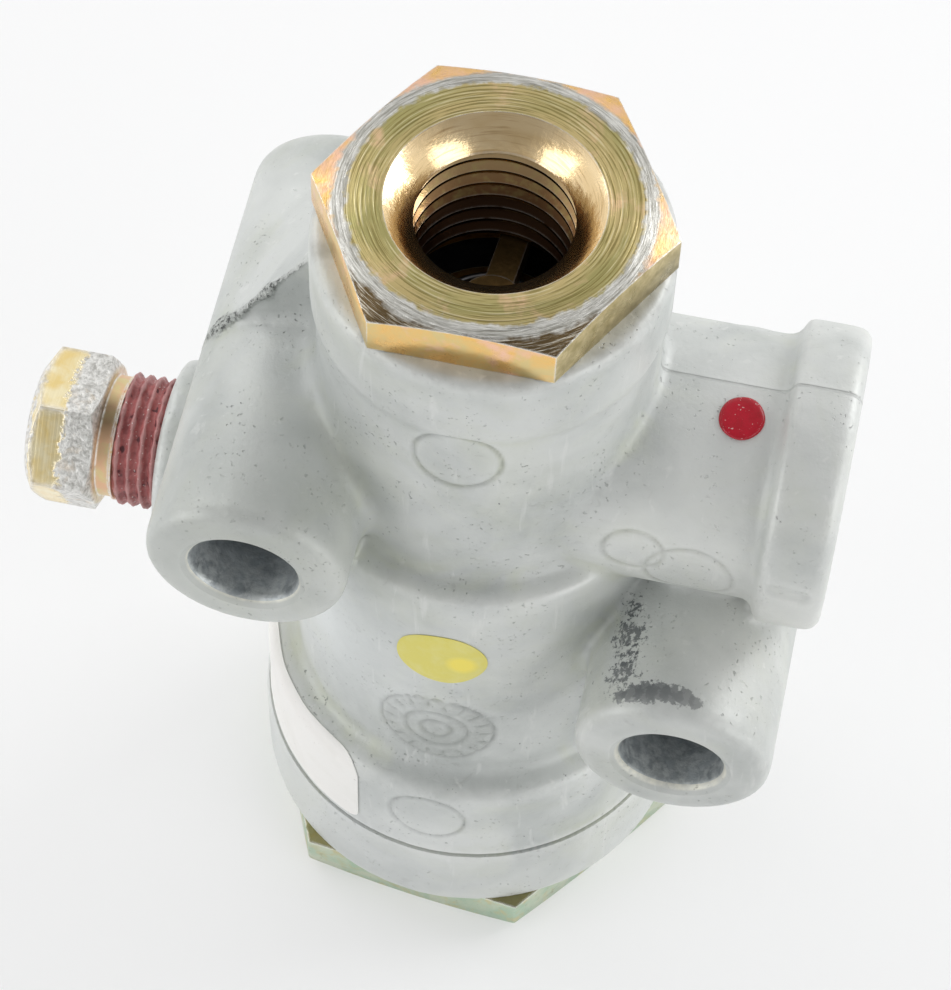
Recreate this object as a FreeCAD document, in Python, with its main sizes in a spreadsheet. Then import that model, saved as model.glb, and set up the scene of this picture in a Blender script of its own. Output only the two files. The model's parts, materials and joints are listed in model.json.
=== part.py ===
import FreeCAD, Part
import math
import os
import Sketcher

# Pressure reducing valve with a cast body, in millimetres.
# The origin is on the main axis at the underside of the bottom hexagon. +Z runs up the main axis
# to the supply port, +X points to the delivery port and the two mounting holes run along Y.

doc = FreeCAD.newDocument("pressure_reducing_valve")
sheet = doc.addObject("Spreadsheet::Sheet", "Sizes")


class Size:
    """A length or angle that keeps both its value and the sheet expression it is worked out from."""

    def __init__(self, value, text):
        self.value = value
        self.text = text

    def __add__(self, other):
        other = as_size(other)
        return Size(self.value + other.value, f"({self.text} + {other.text})")

    def __sub__(self, other):
        other = as_size(other)
        return Size(self.value - other.value, f"({self.text} - {other.text})")

    def __mul__(self, factor):
        factor = as_size(factor)
        return Size(self.value * factor.value, f"({self.text} * {factor.text})")

    def __truediv__(self, factor):
        factor = as_size(factor)
        return Size(self.value / factor.value, f"({self.text} / {factor.text})")

    def __neg__(self):
        return Size(-self.value, f"(-1 * {self.text})")


def as_size(value):
    if isinstance(value, Size):
        return value
    return Size(float(value), repr(float(value)))


next_row = [1]


def size(alias, value):
    """Puts one driving size in the sheet under its alias."""
    row = next_row[0]
    sheet.set(f"A{row}", alias)
    sheet.set(f"B{row}", str(value))
    sheet.setAlias(f"B{row}", alias)
    next_row[0] = row + 1
    return Size(float(value), f"Sizes.{alias}")


# Fits
bevel_overrun = size("bevel_overrun", 1.0)
cut_overrun = size("cut_overrun", 1.0)
running_gap = size("running_gap", 0.05)
thread_gap = size("thread_gap", 0.04)
seal_gap = size("seal_gap", 0.05)

# Casting, turned outline about the main axis, from the bottom hexagon up
base_hex_height = size("base_hex_height", 4.08)
ring_height = size("ring_height", 8.2)
flange_height = size("flange_height", 9.7)
barrel_length = size("barrel_length", 26.62)
upper_length = size("upper_length", 19.15)
collar_height = size("collar_height", 6.62)
upper_wall = size("upper_wall", 2.7)
flange_step = size("flange_step", 2.4)
ring_step = size("ring_step", 0.5)
groove_depth = size("groove_depth", 0.3)
groove_width = size("groove_width", 0.4)
flange_round = size("flange_round", 1.0)
foot_fillet = size("foot_fillet", 0.9)
barrel_round = size("barrel_round", 0.8)
shoulder_step = size("shoulder_step", 2.1)
shoulder_fillet = size("shoulder_fillet", 0.9)
collar_step = size("collar_step", 0.35)
collar_round = size("collar_round", 0.5)

# Casting, side ports, bosses and web
port_rise = size("port_rise", 3.24)
neck_radius = size("neck_radius", 9.85)
port_reach = size("port_reach", 26.97)
port_rim_step = size("port_rim_step", 1.45)
port_rim_length = size("port_rim_length", 5.1)
port_rim_round = size("port_rim_round", 1.1)
mounting_hole_radius = size("mounting_hole_radius", 3.95)
boss_wall = size("boss_wall", 3.51)
boss_round = size("boss_round", 1.2)
boss_back = size("boss_back", 17.9)
left_boss_x = size("left_boss_x", 14.27)
left_boss_rise = size("left_boss_rise", 3.31)
left_boss_front = size("left_boss_front", 17.4)
right_boss_x = size("right_boss_x", 18.09)
right_boss_drop = size("right_boss_drop", 11.56)
right_boss_front = size("right_boss_front", 18.1)
web_top_drop = size("web_top_drop", 0.2)
web_top_out = size("web_top_out", 0.8)
web_foot_out = size("web_foot_out", 6.33)
web_foot_rise = size("web_foot_rise", 4.09)
web_foot_fall = size("web_foot_fall", 0.05)
web_inner_x = size("web_inner_x", 7.0)
web_length = size("web_length", 15.8)
web_back_drop = size("web_back_drop", 9.0)

# Casting, machined bores
flange_wall = size("flange_wall", 3.0)
thread_relief = size("thread_relief", 1.0)
base_seal_depth = size("base_seal_depth", 1.5)
base_seal_width = size("base_seal_width", 1.5)
barrel_wall = size("barrel_wall", 2.6)
piston_bore_depth = size("piston_bore_depth", 29.92)
piston_stop_width = size("piston_stop_width", 1.2)
chamber_roof = size("chamber_roof", 3.4)
chamber_cone = size("chamber_cone", 1.0)
passage_radius = size("passage_radius", 8.0)
seat_depth = size("seat_depth", 17.37)
seat_web = size("seat_web", 1.8)
seat_lip_height = size("seat_lip_height", 0.6)
seat_lip_width = size("seat_lip_width", 0.8)
seat_radius = size("seat_radius", 4.3)
valve_chamber_radius = size("valve_chamber_radius", 8.3)
guide_seat_width = size("guide_seat_width", 1.4)
supply_seal_width = size("supply_seal_width", 1.3)
supply_seal_depth = size("supply_seal_depth", 1.4)
port_bore_radius = size("port_bore_radius", 5.72)
port_bore_depth = size("port_bore_depth", 13.5)
port_drill_radius = size("port_drill_radius", 4.2)

# Supply cap
cap_flats = size("cap_flats", 22.225)
cap_hex_height = size("cap_hex_height", 3.75)
cap_chamfer_slope = size("cap_chamfer_slope", 0.31)
cap_face_margin = size("cap_face_margin", 0.61)
countersink_width = size("countersink_width", 1.92)
countersink_depth = size("countersink_depth", 1.85)
guide_thickness = size("guide_thickness", 2.0)
guide_hub_wall = size("guide_hub_wall", 1.05)
guide_ring_width = size("guide_ring_width", 2.6)
guide_arm_width = size("guide_arm_width", 2.1)
guide_arm_turn = size("guide_arm_turn", 85.0)
guide_hub_drop = size("guide_hub_drop", 1.2)
guide_hub_rise = size("guide_hub_rise", 0.1)
guide_hub_roof = size("guide_hub_roof", 0.8)
guide_pin_radius = size("guide_pin_radius", 1.2)

# Inlet valve
valve_lift = size("valve_lift", 0.8)
valve_face_radius = size("valve_face_radius", 5.5)
valve_face_thickness = size("valve_face_thickness", 1.2)
valve_holder_wall = size("valve_holder_wall", 0.6)
valve_holder_cap = size("valve_holder_cap", 0.6)
valve_holder_lip = size("valve_holder_lip", 0.8)
valve_pin_length = size("valve_pin_length", 3.2)
valve_spring_space = size("valve_spring_space", 2.2)
valve_spring_wire = size("valve_spring_wire", 0.5)
valve_spring_radius = size("valve_spring_radius", 4.2)
valve_spring_turns = size("valve_spring_turns", 3)

# Piston
piston_height = size("piston_height", 7.6)
piston_vent_radius = size("piston_vent_radius", 1.3)
piston_stem_wall = size("piston_stem_wall", 1.3)
piston_seal_width = size("piston_seal_width", 2.7)
piston_seal_depth = size("piston_seal_depth", 2.0)
piston_seal_drop = size("piston_seal_drop", 2.4)
piston_recess_radius = size("piston_recess_radius", 6.0)
piston_recess_depth = size("piston_recess_depth", 1.5)

# Springs and their seats
spring_seat_thickness = size("spring_seat_thickness", 0.9)
spring_seat_hole = size("spring_seat_hole", 3.2)
spring_seat_gap = size("spring_seat_gap", 0.2)
outer_spring_wire = size("outer_spring_wire", 2.4)
outer_spring_gap = size("outer_spring_gap", 1.2)
outer_spring_turns = size("outer_spring_turns", 5.5)
inner_spring_wire = size("inner_spring_wire", 1.5)
inner_spring_gap = size("inner_spring_gap", 1.65)
inner_spring_turns = size("inner_spring_turns", 7.5)
shim_thickness = size("shim_thickness", 0.8)
shim_hole_radius = size("shim_hole_radius", 4.4)

# Bottom cap and exhaust
base_hex_flats = size("base_hex_flats", 31.75)
base_hex_turn = size("base_hex_turn", 53.0)
base_hex_face_margin = size("base_hex_face_margin", 0.475)
base_hex_chamfer_slope = size("base_hex_chamfer_slope", 0.32)
cap_spigot_height = size("cap_spigot_height", 6.4)
cap_wall = size("cap_wall", 2.3)
cap_floor_low = size("cap_floor_low", 1.7)
cap_floor_thickness = size("cap_floor_thickness", 1.9)
exhaust_recess_radius = size("exhaust_recess_radius", 8.6)
vent_radius = size("vent_radius", 0.9)
vent_circle = size("vent_circle", 3.3)
vent_count = size("vent_count", 6)
diaphragm_radius = size("diaphragm_radius", 7.6)
diaphragm_thickness = size("diaphragm_thickness", 0.7)
rivet_radius = size("rivet_radius", 1.1)
rivet_head_radius = size("rivet_head_radius", 2.2)
rivet_head_height = size("rivet_head_height", 0.5)
diaphragm_washer_radius = size("diaphragm_washer_radius", 4.6)
diaphragm_washer_thickness = size("diaphragm_washer_thickness", 0.3)

# Plug at the left side port
plug_rise = size("plug_rise", 4.8)
plug_port_reach = size("plug_port_reach", 24.7)
plug_port_round = size("plug_port_round", 0.5)
plug_thread_radius = size("plug_thread_radius", 4.6)
plug_boss_wall = size("plug_boss_wall", 2.4)
plug_engagement = size("plug_engagement", 5.2)
plug_drill_radius = size("plug_drill_radius", 3.2)
plug_shank_length = size("plug_shank_length", 4.9)
plug_neck_length = size("plug_neck_length", 1.3)
plug_head_flats = size("plug_head_flats", 11.11)
plug_head_length = size("plug_head_length", 5.6)
plug_head_face_margin = size("plug_head_face_margin", 0.855)
plug_head_chamfer_slope = size("plug_head_chamfer_slope", 0.6)
plug_head_turn = size("plug_head_turn", 39.0)
sealant_thickness = size("sealant_thickness", 0.75)

# Label around the left of the flange
label_thickness = size("label_thickness", 0.1)
label_low_gap = size("label_low_gap", 0.62)
label_high_gap = size("label_high_gap", 0.3)
label_start = size("label_start", 118.0)
label_sweep = size("label_sweep", 130.0)

doc.recompute()

# Heights worked out from the sizes above
ring_low = base_hex_height
ring_top = ring_low + ring_height
flange_top = ring_top + flange_height
barrel_top = flange_top + barrel_length
collar_low = barrel_top + upper_length
collar_top = collar_low + collar_height
cap_top = collar_top + cap_hex_height
port_height = barrel_top + port_rise
left_boss_height = barrel_top + left_boss_rise
right_boss_height = barrel_top - right_boss_drop
web_foot_height = left_boss_height + web_foot_rise
web_top = collar_low - web_top_drop
piston_stop_height = ring_low + piston_bore_depth
plug_height = piston_stop_height + plug_rise
chamber_top = barrel_top - chamber_roof
seat_floor = collar_top - seat_depth
seat_top = seat_floor + seat_web
lip_top = seat_top + seat_lip_height
valve_low = lip_top + valve_lift
face_top = valve_low + valve_face_thickness
holder_top = face_top + valve_holder_cap
guide_ledge = holder_top + valve_spring_space
guide_top = guide_ledge + guide_thickness
cap_floor_top = cap_floor_low + cap_floor_thickness
shim_top = cap_floor_top + shim_thickness
piston_top = piston_stop_height - running_gap
piston_low = piston_top - piston_height
spring_top = piston_low - spring_seat_thickness

# Radii worked out from the sizes above, from the valve's chamber outwards
supply_thread_radius = valve_chamber_radius + guide_seat_width
upper_radius = supply_thread_radius + upper_wall
collar_radius = upper_radius + collar_step
barrel_radius = upper_radius + shoulder_step
flange_radius = barrel_radius + flange_step
ring_radius = flange_radius + ring_step
port_rim_radius = neck_radius + port_rim_step
boss_radius = mounting_hole_radius + boss_wall
plug_port_radius = plug_thread_radius + plug_boss_wall
cap_thread_radius = flange_radius - flange_wall
cap_recess_radius = cap_thread_radius - cap_wall
piston_bore_radius = barrel_radius - barrel_wall
chamber_radius = piston_bore_radius - piston_stop_width
countersink_radius = port_bore_radius + countersink_width
guide_hub_radius = guide_pin_radius + running_gap + guide_hub_wall
holder_radius = valve_face_radius + valve_holder_wall
piston_stem_radius = piston_vent_radius + piston_stem_wall
outer_spring_radius = cap_recess_radius - outer_spring_gap - outer_spring_wire / 2
inner_spring_radius = outer_spring_radius - outer_spring_wire / 2 - inner_spring_gap - inner_spring_wire / 2
shank_radius = plug_thread_radius - thread_gap

parts = []


def bind(target, name, value):
    """Sets a property and ties it to the sheet."""
    value = as_size(value)
    target.setExpression(name, value.text)


def plane(body, role):
    """One of a body's own origin planes."""
    return [item for item in body.Origin.OriginFeatures if item.Role == role][0]


def new_body(label):
    body = doc.addObject("PartDesign::Body", label)
    body.Label = label
    parts.append(body)
    return body


def polygon(body, name, role, corners):
    """A closed sketch whose corners are placed by the sheet."""
    sketch = body.newObject("Sketcher::SketchObject", name)
    sketch.AttachmentSupport = [(plane(body, role), "")]
    sketch.MapMode = "FlatFace"
    corners = [(as_size(across), as_size(up)) for across, up in corners]
    count = len(corners)
    for index in range(count):
        start, end = corners[index], corners[(index + 1) % count]
        sketch.addGeometry(
            Part.LineSegment(
                FreeCAD.Vector(start[0].value, start[1].value, 0),
                FreeCAD.Vector(end[0].value, end[1].value, 0),
            ),
            False,
        )
    for index in range(count):
        sketch.addConstraint(Sketcher.Constraint("Coincident", index, 2, (index + 1) % count, 1))
    for index, corner in enumerate(corners):
        for kind, value in zip(("DistanceX", "DistanceY"), corner):
            place = sketch.addConstraint(Sketcher.Constraint(kind, index, 1, value.value))
            if value.text.count("Sizes"):
                sketch.setExpression(f"Constraints[{place}]", value.text)
    return sketch


def circle(body, name, role, radius, across, up):
    """A sketched circle placed by the sheet."""
    sketch = body.newObject("Sketcher::SketchObject", name)
    sketch.AttachmentSupport = [(plane(body, role), "")]
    sketch.MapMode = "FlatFace"
    radius, across, up = as_size(radius), as_size(across), as_size(up)
    centre = FreeCAD.Vector(across.value, up.value, 0)
    sketch.addGeometry(Part.Circle(centre, FreeCAD.Vector(0, 0, 1), radius.value), False)
    for kind, value in (("DistanceX", across), ("DistanceY", up)):
        place = sketch.addConstraint(Sketcher.Constraint(kind, 0, 3, value.value))
        if value.text.count("Sizes"):
            sketch.setExpression(f"Constraints[{place}]", value.text)
    place = sketch.addConstraint(Sketcher.Constraint("Radius", 0, radius.value))
    sketch.setExpression(f"Constraints[{place}]", radius.text)
    return sketch


def revolve(body, name, corners, kind="Revolution"):
    """Turns a profile of (radius, height) corners about the body's Z axis."""
    sketch = polygon(body, name + "_profile", "XZ_Plane", corners)
    feature = body.newObject("PartDesign::" + kind, name)
    feature.Profile = sketch
    feature.ReferenceAxis = (sketch, ["V_Axis"])
    feature.Angle = 360
    sketch.Visibility = False
    return feature


def turned(label, corners):
    """A sub-part turned in one piece."""
    body = new_body(label)
    revolve(body, label + "_turning", corners)
    return body


def primitive(body, kind, name, role, sizes, across=0, up=0, out=0, turn=0):
    """A solid primitive on an origin plane, moved in that plane and along its normal."""
    feature = body.newObject("PartDesign::" + kind, name)
    feature.AttachmentSupport = [(plane(body, role), "")]
    feature.MapMode = "FlatFace"
    for key, value in sizes.items():
        bind(feature, key, value)
    bind(feature, ".AttachmentOffset.Base.x", across)
    bind(feature, ".AttachmentOffset.Base.y", up)
    bind(feature, ".AttachmentOffset.Base.z", out)
    if as_size(turn).value:
        bind(feature, ".AttachmentOffset.Rotation.Angle", turn)
    return feature


def edges(shape, test):
    """Names of the edges whose middle point and length pass a test."""
    found = []
    for number, edge in enumerate(shape.Edges, 1):
        middle = edge.valueAt((edge.FirstParameter + edge.LastParameter) / 2)
        if test(edge, middle):
            found.append(f"Edge{number}")
    return found


def round_edges(body, name, radius, test):
    """Rounds the edges of the body's tip that pass a test."""
    doc.recompute()
    base = body.Tip
    found = edges(base.Shape, test)
    feature = body.newObject("PartDesign::Fillet", name)
    feature.Base = (base, found)
    bind(feature, "Radius", radius)
    return feature


same_place = 1e-3


def is_circle(edge, radius):
    curve = edge.Curve
    return isinstance(curve, Part.Circle) and abs(curve.Radius - radius.value) < same_place


# Cast body: turned outline, neck and rim of the delivery port, two through bosses, plug boss and web
body = new_body("body")
revolve(
    body,
    "barrel",
    [
        (0, ring_low),
        (ring_radius, ring_low),
        (ring_radius, ring_top - groove_width / 2),
        (flange_radius - groove_depth, ring_top),
        (flange_radius, ring_top + groove_width / 2),
        (flange_radius, flange_top),
        (barrel_radius, flange_top),
        (barrel_radius, barrel_top),
        (upper_radius, barrel_top),
        (upper_radius, collar_low),
        (collar_radius, collar_low),
        (collar_radius, collar_top),
        (0, collar_top),
    ],
)


def near(value, target):
    return abs(value - target) < same_place


def turned_edge(radius, height):
    """A test for the full circle at one radius and height about the main axis."""
    return lambda edge, middle: is_circle(edge, radius) and near(middle.z, height.value)


round_edges(body, "flange_rounding", flange_round, turned_edge(flange_radius, flange_top))
round_edges(body, "barrel_foot_fillet", foot_fillet, turned_edge(barrel_radius, flange_top))
round_edges(body, "barrel_rounding", barrel_round, turned_edge(barrel_radius, barrel_top))
round_edges(body, "barrel_shoulder_fillet", shoulder_fillet, turned_edge(upper_radius, barrel_top))
round_edges(body, "collar_rounding", collar_round, turned_edge(collar_radius, collar_top))
primitive(
    body,
    "AdditiveCylinder",
    "plug_boss",
    "YZ_Plane",
    {"Radius": plug_port_radius, "Height": plug_port_reach},
    up=plug_height,
    out=-plug_port_reach,
)
for side, across, up, front in (
    ("left", -left_boss_x, left_boss_height, left_boss_front),
    ("right", right_boss_x, right_boss_height, right_boss_front),
):
    primitive(
        body,
        "AdditiveCylinder",
        side + "_boss",
        "XZ_Plane",
        {"Radius": boss_radius, "Height": boss_back + front},
        across=across,
        up=up,
        out=-boss_back,
    )
primitive(
    body,
    "AdditiveCylinder",
    "port_neck",
    "YZ_Plane",
    {"Radius": neck_radius, "Height": port_reach},
    up=port_height,
)
primitive(
    body,
    "AdditiveCylinder",
    "port_rim",
    "YZ_Plane",
    {"Radius": port_rim_radius, "Height": port_rim_length},
    up=port_height,
    out=port_reach - port_rim_length,
)
web_front = polygon(
    body,
    "web_front",
    "XZ_Plane",
    [
        (-web_inner_x, left_boss_height),
        (-left_boss_x, left_boss_height),
        (-left_boss_x - web_foot_out, web_foot_height),
        (-upper_radius - web_top_out, web_top),
        (-web_inner_x, web_top),
    ],
)
web_rear = polygon(
    body,
    "web_rear",
    "XZ_Plane",
    [
        (-web_inner_x, left_boss_height),
        (-left_boss_x, left_boss_height),
        (-left_boss_x - web_foot_out, web_foot_height - web_foot_fall),
        (-upper_radius - web_top_out, web_top - web_back_drop),
        (-web_inner_x, web_top - web_back_drop),
    ],
)
bind(web_rear, ".AttachmentOffset.Base.z", -web_length)
web = body.newObject("PartDesign::AdditiveLoft", "web")
web.Profile = web_front
web.Sections = [web_rear]
web.Ruled = True
web_front.Visibility = False
web_rear.Visibility = False


def port_edge(radius, across):
    """A test for the full circle at one radius and X about the delivery port's axis."""
    return lambda edge, middle: is_circle(edge, radius) and near(middle.x, across.value)


def boss_end(edge, middle):
    """The rims at both ends of the two mounting bosses."""
    ends = (-left_boss_front.value, -right_boss_front.value, boss_back.value)
    return is_circle(edge, boss_radius) and any(near(middle.y, end) for end in ends)


round_edges(body, "boss_rounding", boss_round, boss_end)
round_edges(body, "port_rounding", port_rim_round, port_edge(port_rim_radius, port_reach))
round_edges(body, "plug_boss_rounding", plug_port_round, port_edge(plug_port_radius, -plug_port_reach))
revolve(
    body,
    "main_bore",
    [
        (0, ring_low - cut_overrun),
        (cap_thread_radius + base_seal_width, ring_low - cut_overrun),
        (cap_thread_radius + base_seal_width, ring_low + base_seal_depth),
        (cap_thread_radius, ring_low + base_seal_depth),
        (cap_thread_radius, ring_low + cap_spigot_height + thread_relief),
        (piston_bore_radius, ring_low + cap_spigot_height + thread_relief),
        (piston_bore_radius, piston_stop_height),
        (chamber_radius, piston_stop_height),
        (chamber_radius, chamber_top),
        (passage_radius, chamber_top + chamber_cone),
        (passage_radius, seat_floor),
        (seat_radius, seat_floor),
        (seat_radius, lip_top),
        (seat_radius + seat_lip_width, lip_top),
        (seat_radius + seat_lip_width, seat_top),
        (valve_chamber_radius, seat_top),
        (valve_chamber_radius, guide_ledge),
        (supply_thread_radius, guide_ledge),
        (supply_thread_radius, collar_top - supply_seal_depth),
        (supply_thread_radius + supply_seal_width, collar_top - supply_seal_depth),
        (supply_thread_radius + supply_seal_width, collar_top + cut_overrun),
        (0, collar_top + cut_overrun),
    ],
    "Groove",
)
for name, radius, depth in (
    ("delivery_port_bore", port_bore_radius, port_bore_depth),
    ("delivery_port_drilling", port_drill_radius, port_reach - passage_radius / 2),
):
    primitive(
        body,
        "SubtractiveCylinder",
        name,
        "YZ_Plane",
        {"Radius": radius, "Height": depth + cut_overrun},
        up=port_height,
        out=port_reach - depth,
    )
plug_passage = plug_port_reach - chamber_radius / 2
for name, radius, depth in (
    ("plug_port_bore", plug_thread_radius, plug_engagement + running_gap),
    ("plug_port_drilling", plug_drill_radius, plug_passage),
):
    primitive(
        body,
        "SubtractiveCylinder",
        name,
        "YZ_Plane",
        {"Radius": radius, "Height": depth + cut_overrun},
        up=plug_height,
        out=-plug_port_reach - cut_overrun,
    )
for side, across, up, front in (
    ("left", -left_boss_x, left_boss_height, left_boss_front),
    ("right", right_boss_x, right_boss_height, right_boss_front),
):
    primitive(
        body,
        "SubtractiveCylinder",
        side + "_mounting_hole",
        "XZ_Plane",
        {"Radius": mounting_hole_radius, "Height": boss_back + front + cut_overrun * 2},
        across=across,
        up=up,
        out=-boss_back - cut_overrun,
    )


def corner(flats):
    """Distance from a hexagon's middle to its corners."""
    return flats / math.sqrt(3)


def chamfered_hexagon(body, name, flats, low, high, turn, bevels):
    """A hexagon from low to high. Each bevel cuts its corners: (flat face radius, slope, top or not)."""
    primitive(
        body,
        "AdditivePrism",
        name,
        "XY_Plane",
        {"Circumradius": corner(flats), "Height": high - low},
        out=low,
        turn=turn,
    )
    body.Tip.Polygon = 6
    outside = corner(flats) + bevel_overrun
    for number, (face_radius, slope, at_top) in enumerate(bevels):
        drop = (outside - face_radius) * slope
        face, past = (high, high + bevel_overrun) if at_top else (low, low - bevel_overrun)
        edge = high - drop if at_top else low + drop
        revolve(
            body,
            f"{name}_bevel_{number}",
            [(face_radius, face), (outside, edge), (outside, past), (face_radius, past)],
            "Groove",
        )


# Supply cap: hexagon, threaded spigot and the supply port through its middle
body = new_body("supply_cap")
chamfered_hexagon(
    body,
    "cap_hexagon",
    cap_flats,
    collar_top,
    cap_top,
    0,
    [(cap_flats / 2 - cap_face_margin, cap_chamfer_slope, True)],
)
primitive(
    body,
    "AdditiveCylinder",
    "cap_spigot",
    "XY_Plane",
    {"Radius": supply_thread_radius - thread_gap, "Height": collar_top - guide_top},
    out=guide_top,
)
revolve(
    body,
    "supply_bore",
    [
        (0, guide_top - cut_overrun),
        (port_bore_radius, guide_top - cut_overrun),
        (port_bore_radius, cap_top - countersink_depth),
        (countersink_radius, cap_top),
        (countersink_radius, cap_top + cut_overrun),
        (0, cap_top + cut_overrun),
    ],
    "Groove",
)


def ring_seal(label, inner, width, low):
    """An O-ring in a square groove, clear of the groove's walls."""
    body = new_body(label)
    primitive(
        body,
        "AdditiveTorus",
        label + "_ring",
        "XY_Plane",
        {"Radius1": inner + width / 2, "Radius2": width / 2 - seal_gap},
        out=low + width / 2,
    )
    return body


ring_seal("supply_cap_seal", supply_thread_radius, supply_seal_width, collar_top - supply_seal_width)

# Valve guide: a rim clamped under the cap, three arms and a hub with a blind hole
body = new_body("valve_guide")
guide_radius = supply_thread_radius - thread_gap
guide_arms = 3
for number in range(guide_arms):
    turn = 360 / guide_arms * number
    primitive(
        body,
        "AdditiveBox",
        f"arm_{number}",
        "XY_Plane",
        {"Length": guide_radius - running_gap, "Width": guide_arm_width, "Height": guide_thickness},
        across=guide_arm_width * (math.sin(math.radians(turn)) / 2),
        up=guide_arm_width * (-math.cos(math.radians(turn)) / 2),
        out=guide_ledge,
        turn=turn,
    )
revolve(
    body,
    "guide_rim",
    [
        (guide_radius - guide_ring_width, guide_ledge),
        (guide_radius, guide_ledge),
        (guide_radius, guide_top),
        (guide_radius - guide_ring_width, guide_top),
    ],
)
guide_hole_low = guide_ledge - guide_hub_drop - cut_overrun
guide_hole_top = guide_top + guide_hub_rise - guide_hub_roof
revolve(
    body,
    "guide_hub",
    [
        (0, guide_ledge - guide_hub_drop),
        (guide_hub_radius, guide_ledge - guide_hub_drop),
        (guide_hub_radius, guide_top + guide_hub_rise),
        (0, guide_top + guide_hub_rise),
    ],
)
primitive(
    body,
    "SubtractiveCylinder",
    "guide_hole",
    "XY_Plane",
    {"Radius": guide_pin_radius + running_gap, "Height": guide_hole_top - guide_hole_low},
    out=guide_hole_low,
)
bind(body, ".Placement.Rotation.Angle", guide_arm_turn)

# Inlet valve: a rubber face bonded in a holder with a guide pin
turned(
    "inlet_valve_face",
    [(0, valve_low), (valve_face_radius, valve_low), (valve_face_radius, face_top), (0, face_top)],
)
turned(
    "inlet_valve",
    [
        (0, face_top),
        (valve_face_radius, face_top),
        (valve_face_radius, face_top - valve_holder_lip),
        (holder_radius, face_top - valve_holder_lip),
        (holder_radius, holder_top),
        (guide_pin_radius, holder_top),
        (guide_pin_radius, holder_top + valve_pin_length),
        (0, holder_top + valve_pin_length),
    ],
)


def coil_spring(label, wire, radius, low, high, turns):
    """A round wire spring between two seats."""
    body = new_body(label)
    profile = circle(body, label + "_wire", "XZ_Plane", wire / 2, radius, low + wire / 2)
    coil = body.newObject("PartDesign::AdditiveHelix", label + "_coil")
    coil.Profile = profile
    coil.ReferenceAxis = (profile, ["V_Axis"])
    coil.Mode = 2
    coil.Angle = 0
    bind(coil, "Height", high - low - wire)
    bind(coil, "Turns", turns)
    profile.Visibility = False
    return body


coil_spring(
    "valve_spring", valve_spring_wire, valve_spring_radius, holder_top, guide_ledge, valve_spring_turns
)

# Piston: head with a seal groove, hollow stem up to the valve face and a recess below
head_radius = piston_bore_radius - running_gap
seal_high = piston_top - piston_seal_drop
seal_low = seal_high - piston_seal_width
turned(
    "piston",
    [
        (piston_vent_radius, piston_low + piston_recess_depth),
        (piston_recess_radius, piston_low + piston_recess_depth),
        (piston_recess_radius, piston_low),
        (head_radius, piston_low),
        (head_radius, seal_low),
        (head_radius - piston_seal_depth, seal_low),
        (head_radius - piston_seal_depth, seal_high),
        (head_radius, seal_high),
        (head_radius, piston_top),
        (piston_stem_radius, piston_top),
        (piston_stem_radius, valve_low),
        (piston_vent_radius, valve_low),
    ],
)
ring_seal(
    "piston_seal",
    head_radius - piston_seal_depth,
    piston_seal_depth,
    seal_low + (piston_seal_width - piston_seal_depth) / 2,
)


def washer(label, inner, outer, low, thickness):
    """A flat ring."""
    high = low + thickness
    return turned(label, [(inner, low), (outer, low), (outer, high), (inner, high)])


seat_outer_radius = cap_recess_radius - spring_seat_gap
washer("upper_spring_seat", spring_seat_hole, seat_outer_radius, spring_top, spring_seat_thickness)
coil_spring(
    "outer_spring", outer_spring_wire, outer_spring_radius, shim_top, spring_top, outer_spring_turns
)
coil_spring(
    "inner_spring", inner_spring_wire, inner_spring_radius, shim_top, spring_top, inner_spring_turns
)
washer("lower_spring_seat", shim_hole_radius, seat_outer_radius, cap_floor_top, shim_thickness)

# Bottom cap: hexagon, hollow threaded spigot, vent holes and a recess for the exhaust flap
body = new_body("bottom_cap")
chamfered_hexagon(
    body,
    "base_hexagon",
    base_hex_flats,
    as_size(0),
    base_hex_height,
    base_hex_turn,
    [(base_hex_flats / 2 - base_hex_face_margin, base_hex_chamfer_slope, False)],
)
primitive(
    body,
    "AdditiveCylinder",
    "base_spigot",
    "XY_Plane",
    {"Radius": cap_thread_radius - thread_gap, "Height": cap_spigot_height},
    out=base_hex_height,
)
for name, radius, low, high in (
    ("spring_recess", cap_recess_radius, cap_floor_top, ring_low + cap_spigot_height + cut_overrun),
    ("exhaust_recess", exhaust_recess_radius, -cut_overrun, cap_floor_low),
    ("rivet_hole", rivet_radius + running_gap, -cut_overrun, cap_floor_top + cut_overrun),
):
    primitive(
        body,
        "SubtractiveCylinder",
        name,
        "XY_Plane",
        {"Radius": radius, "Height": high - low},
        out=low,
    )
vent = primitive(
    body,
    "SubtractiveCylinder",
    "vent",
    "XY_Plane",
    {"Radius": vent_radius, "Height": cap_floor_thickness + cut_overrun * 2},
    across=vent_circle,
    out=cap_floor_low - cut_overrun,
)
vents = body.newObject("PartDesign::PolarPattern", "vents")
vents.Originals = [vent]
vents.Axis = (plane(body, "Z_Axis"), [""])
vents.Angle = 360
bind(vents, "Occurrences", vent_count)
body.Tip = vents
ring_seal("bottom_cap_seal", cap_thread_radius, base_seal_width, ring_low)

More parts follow.
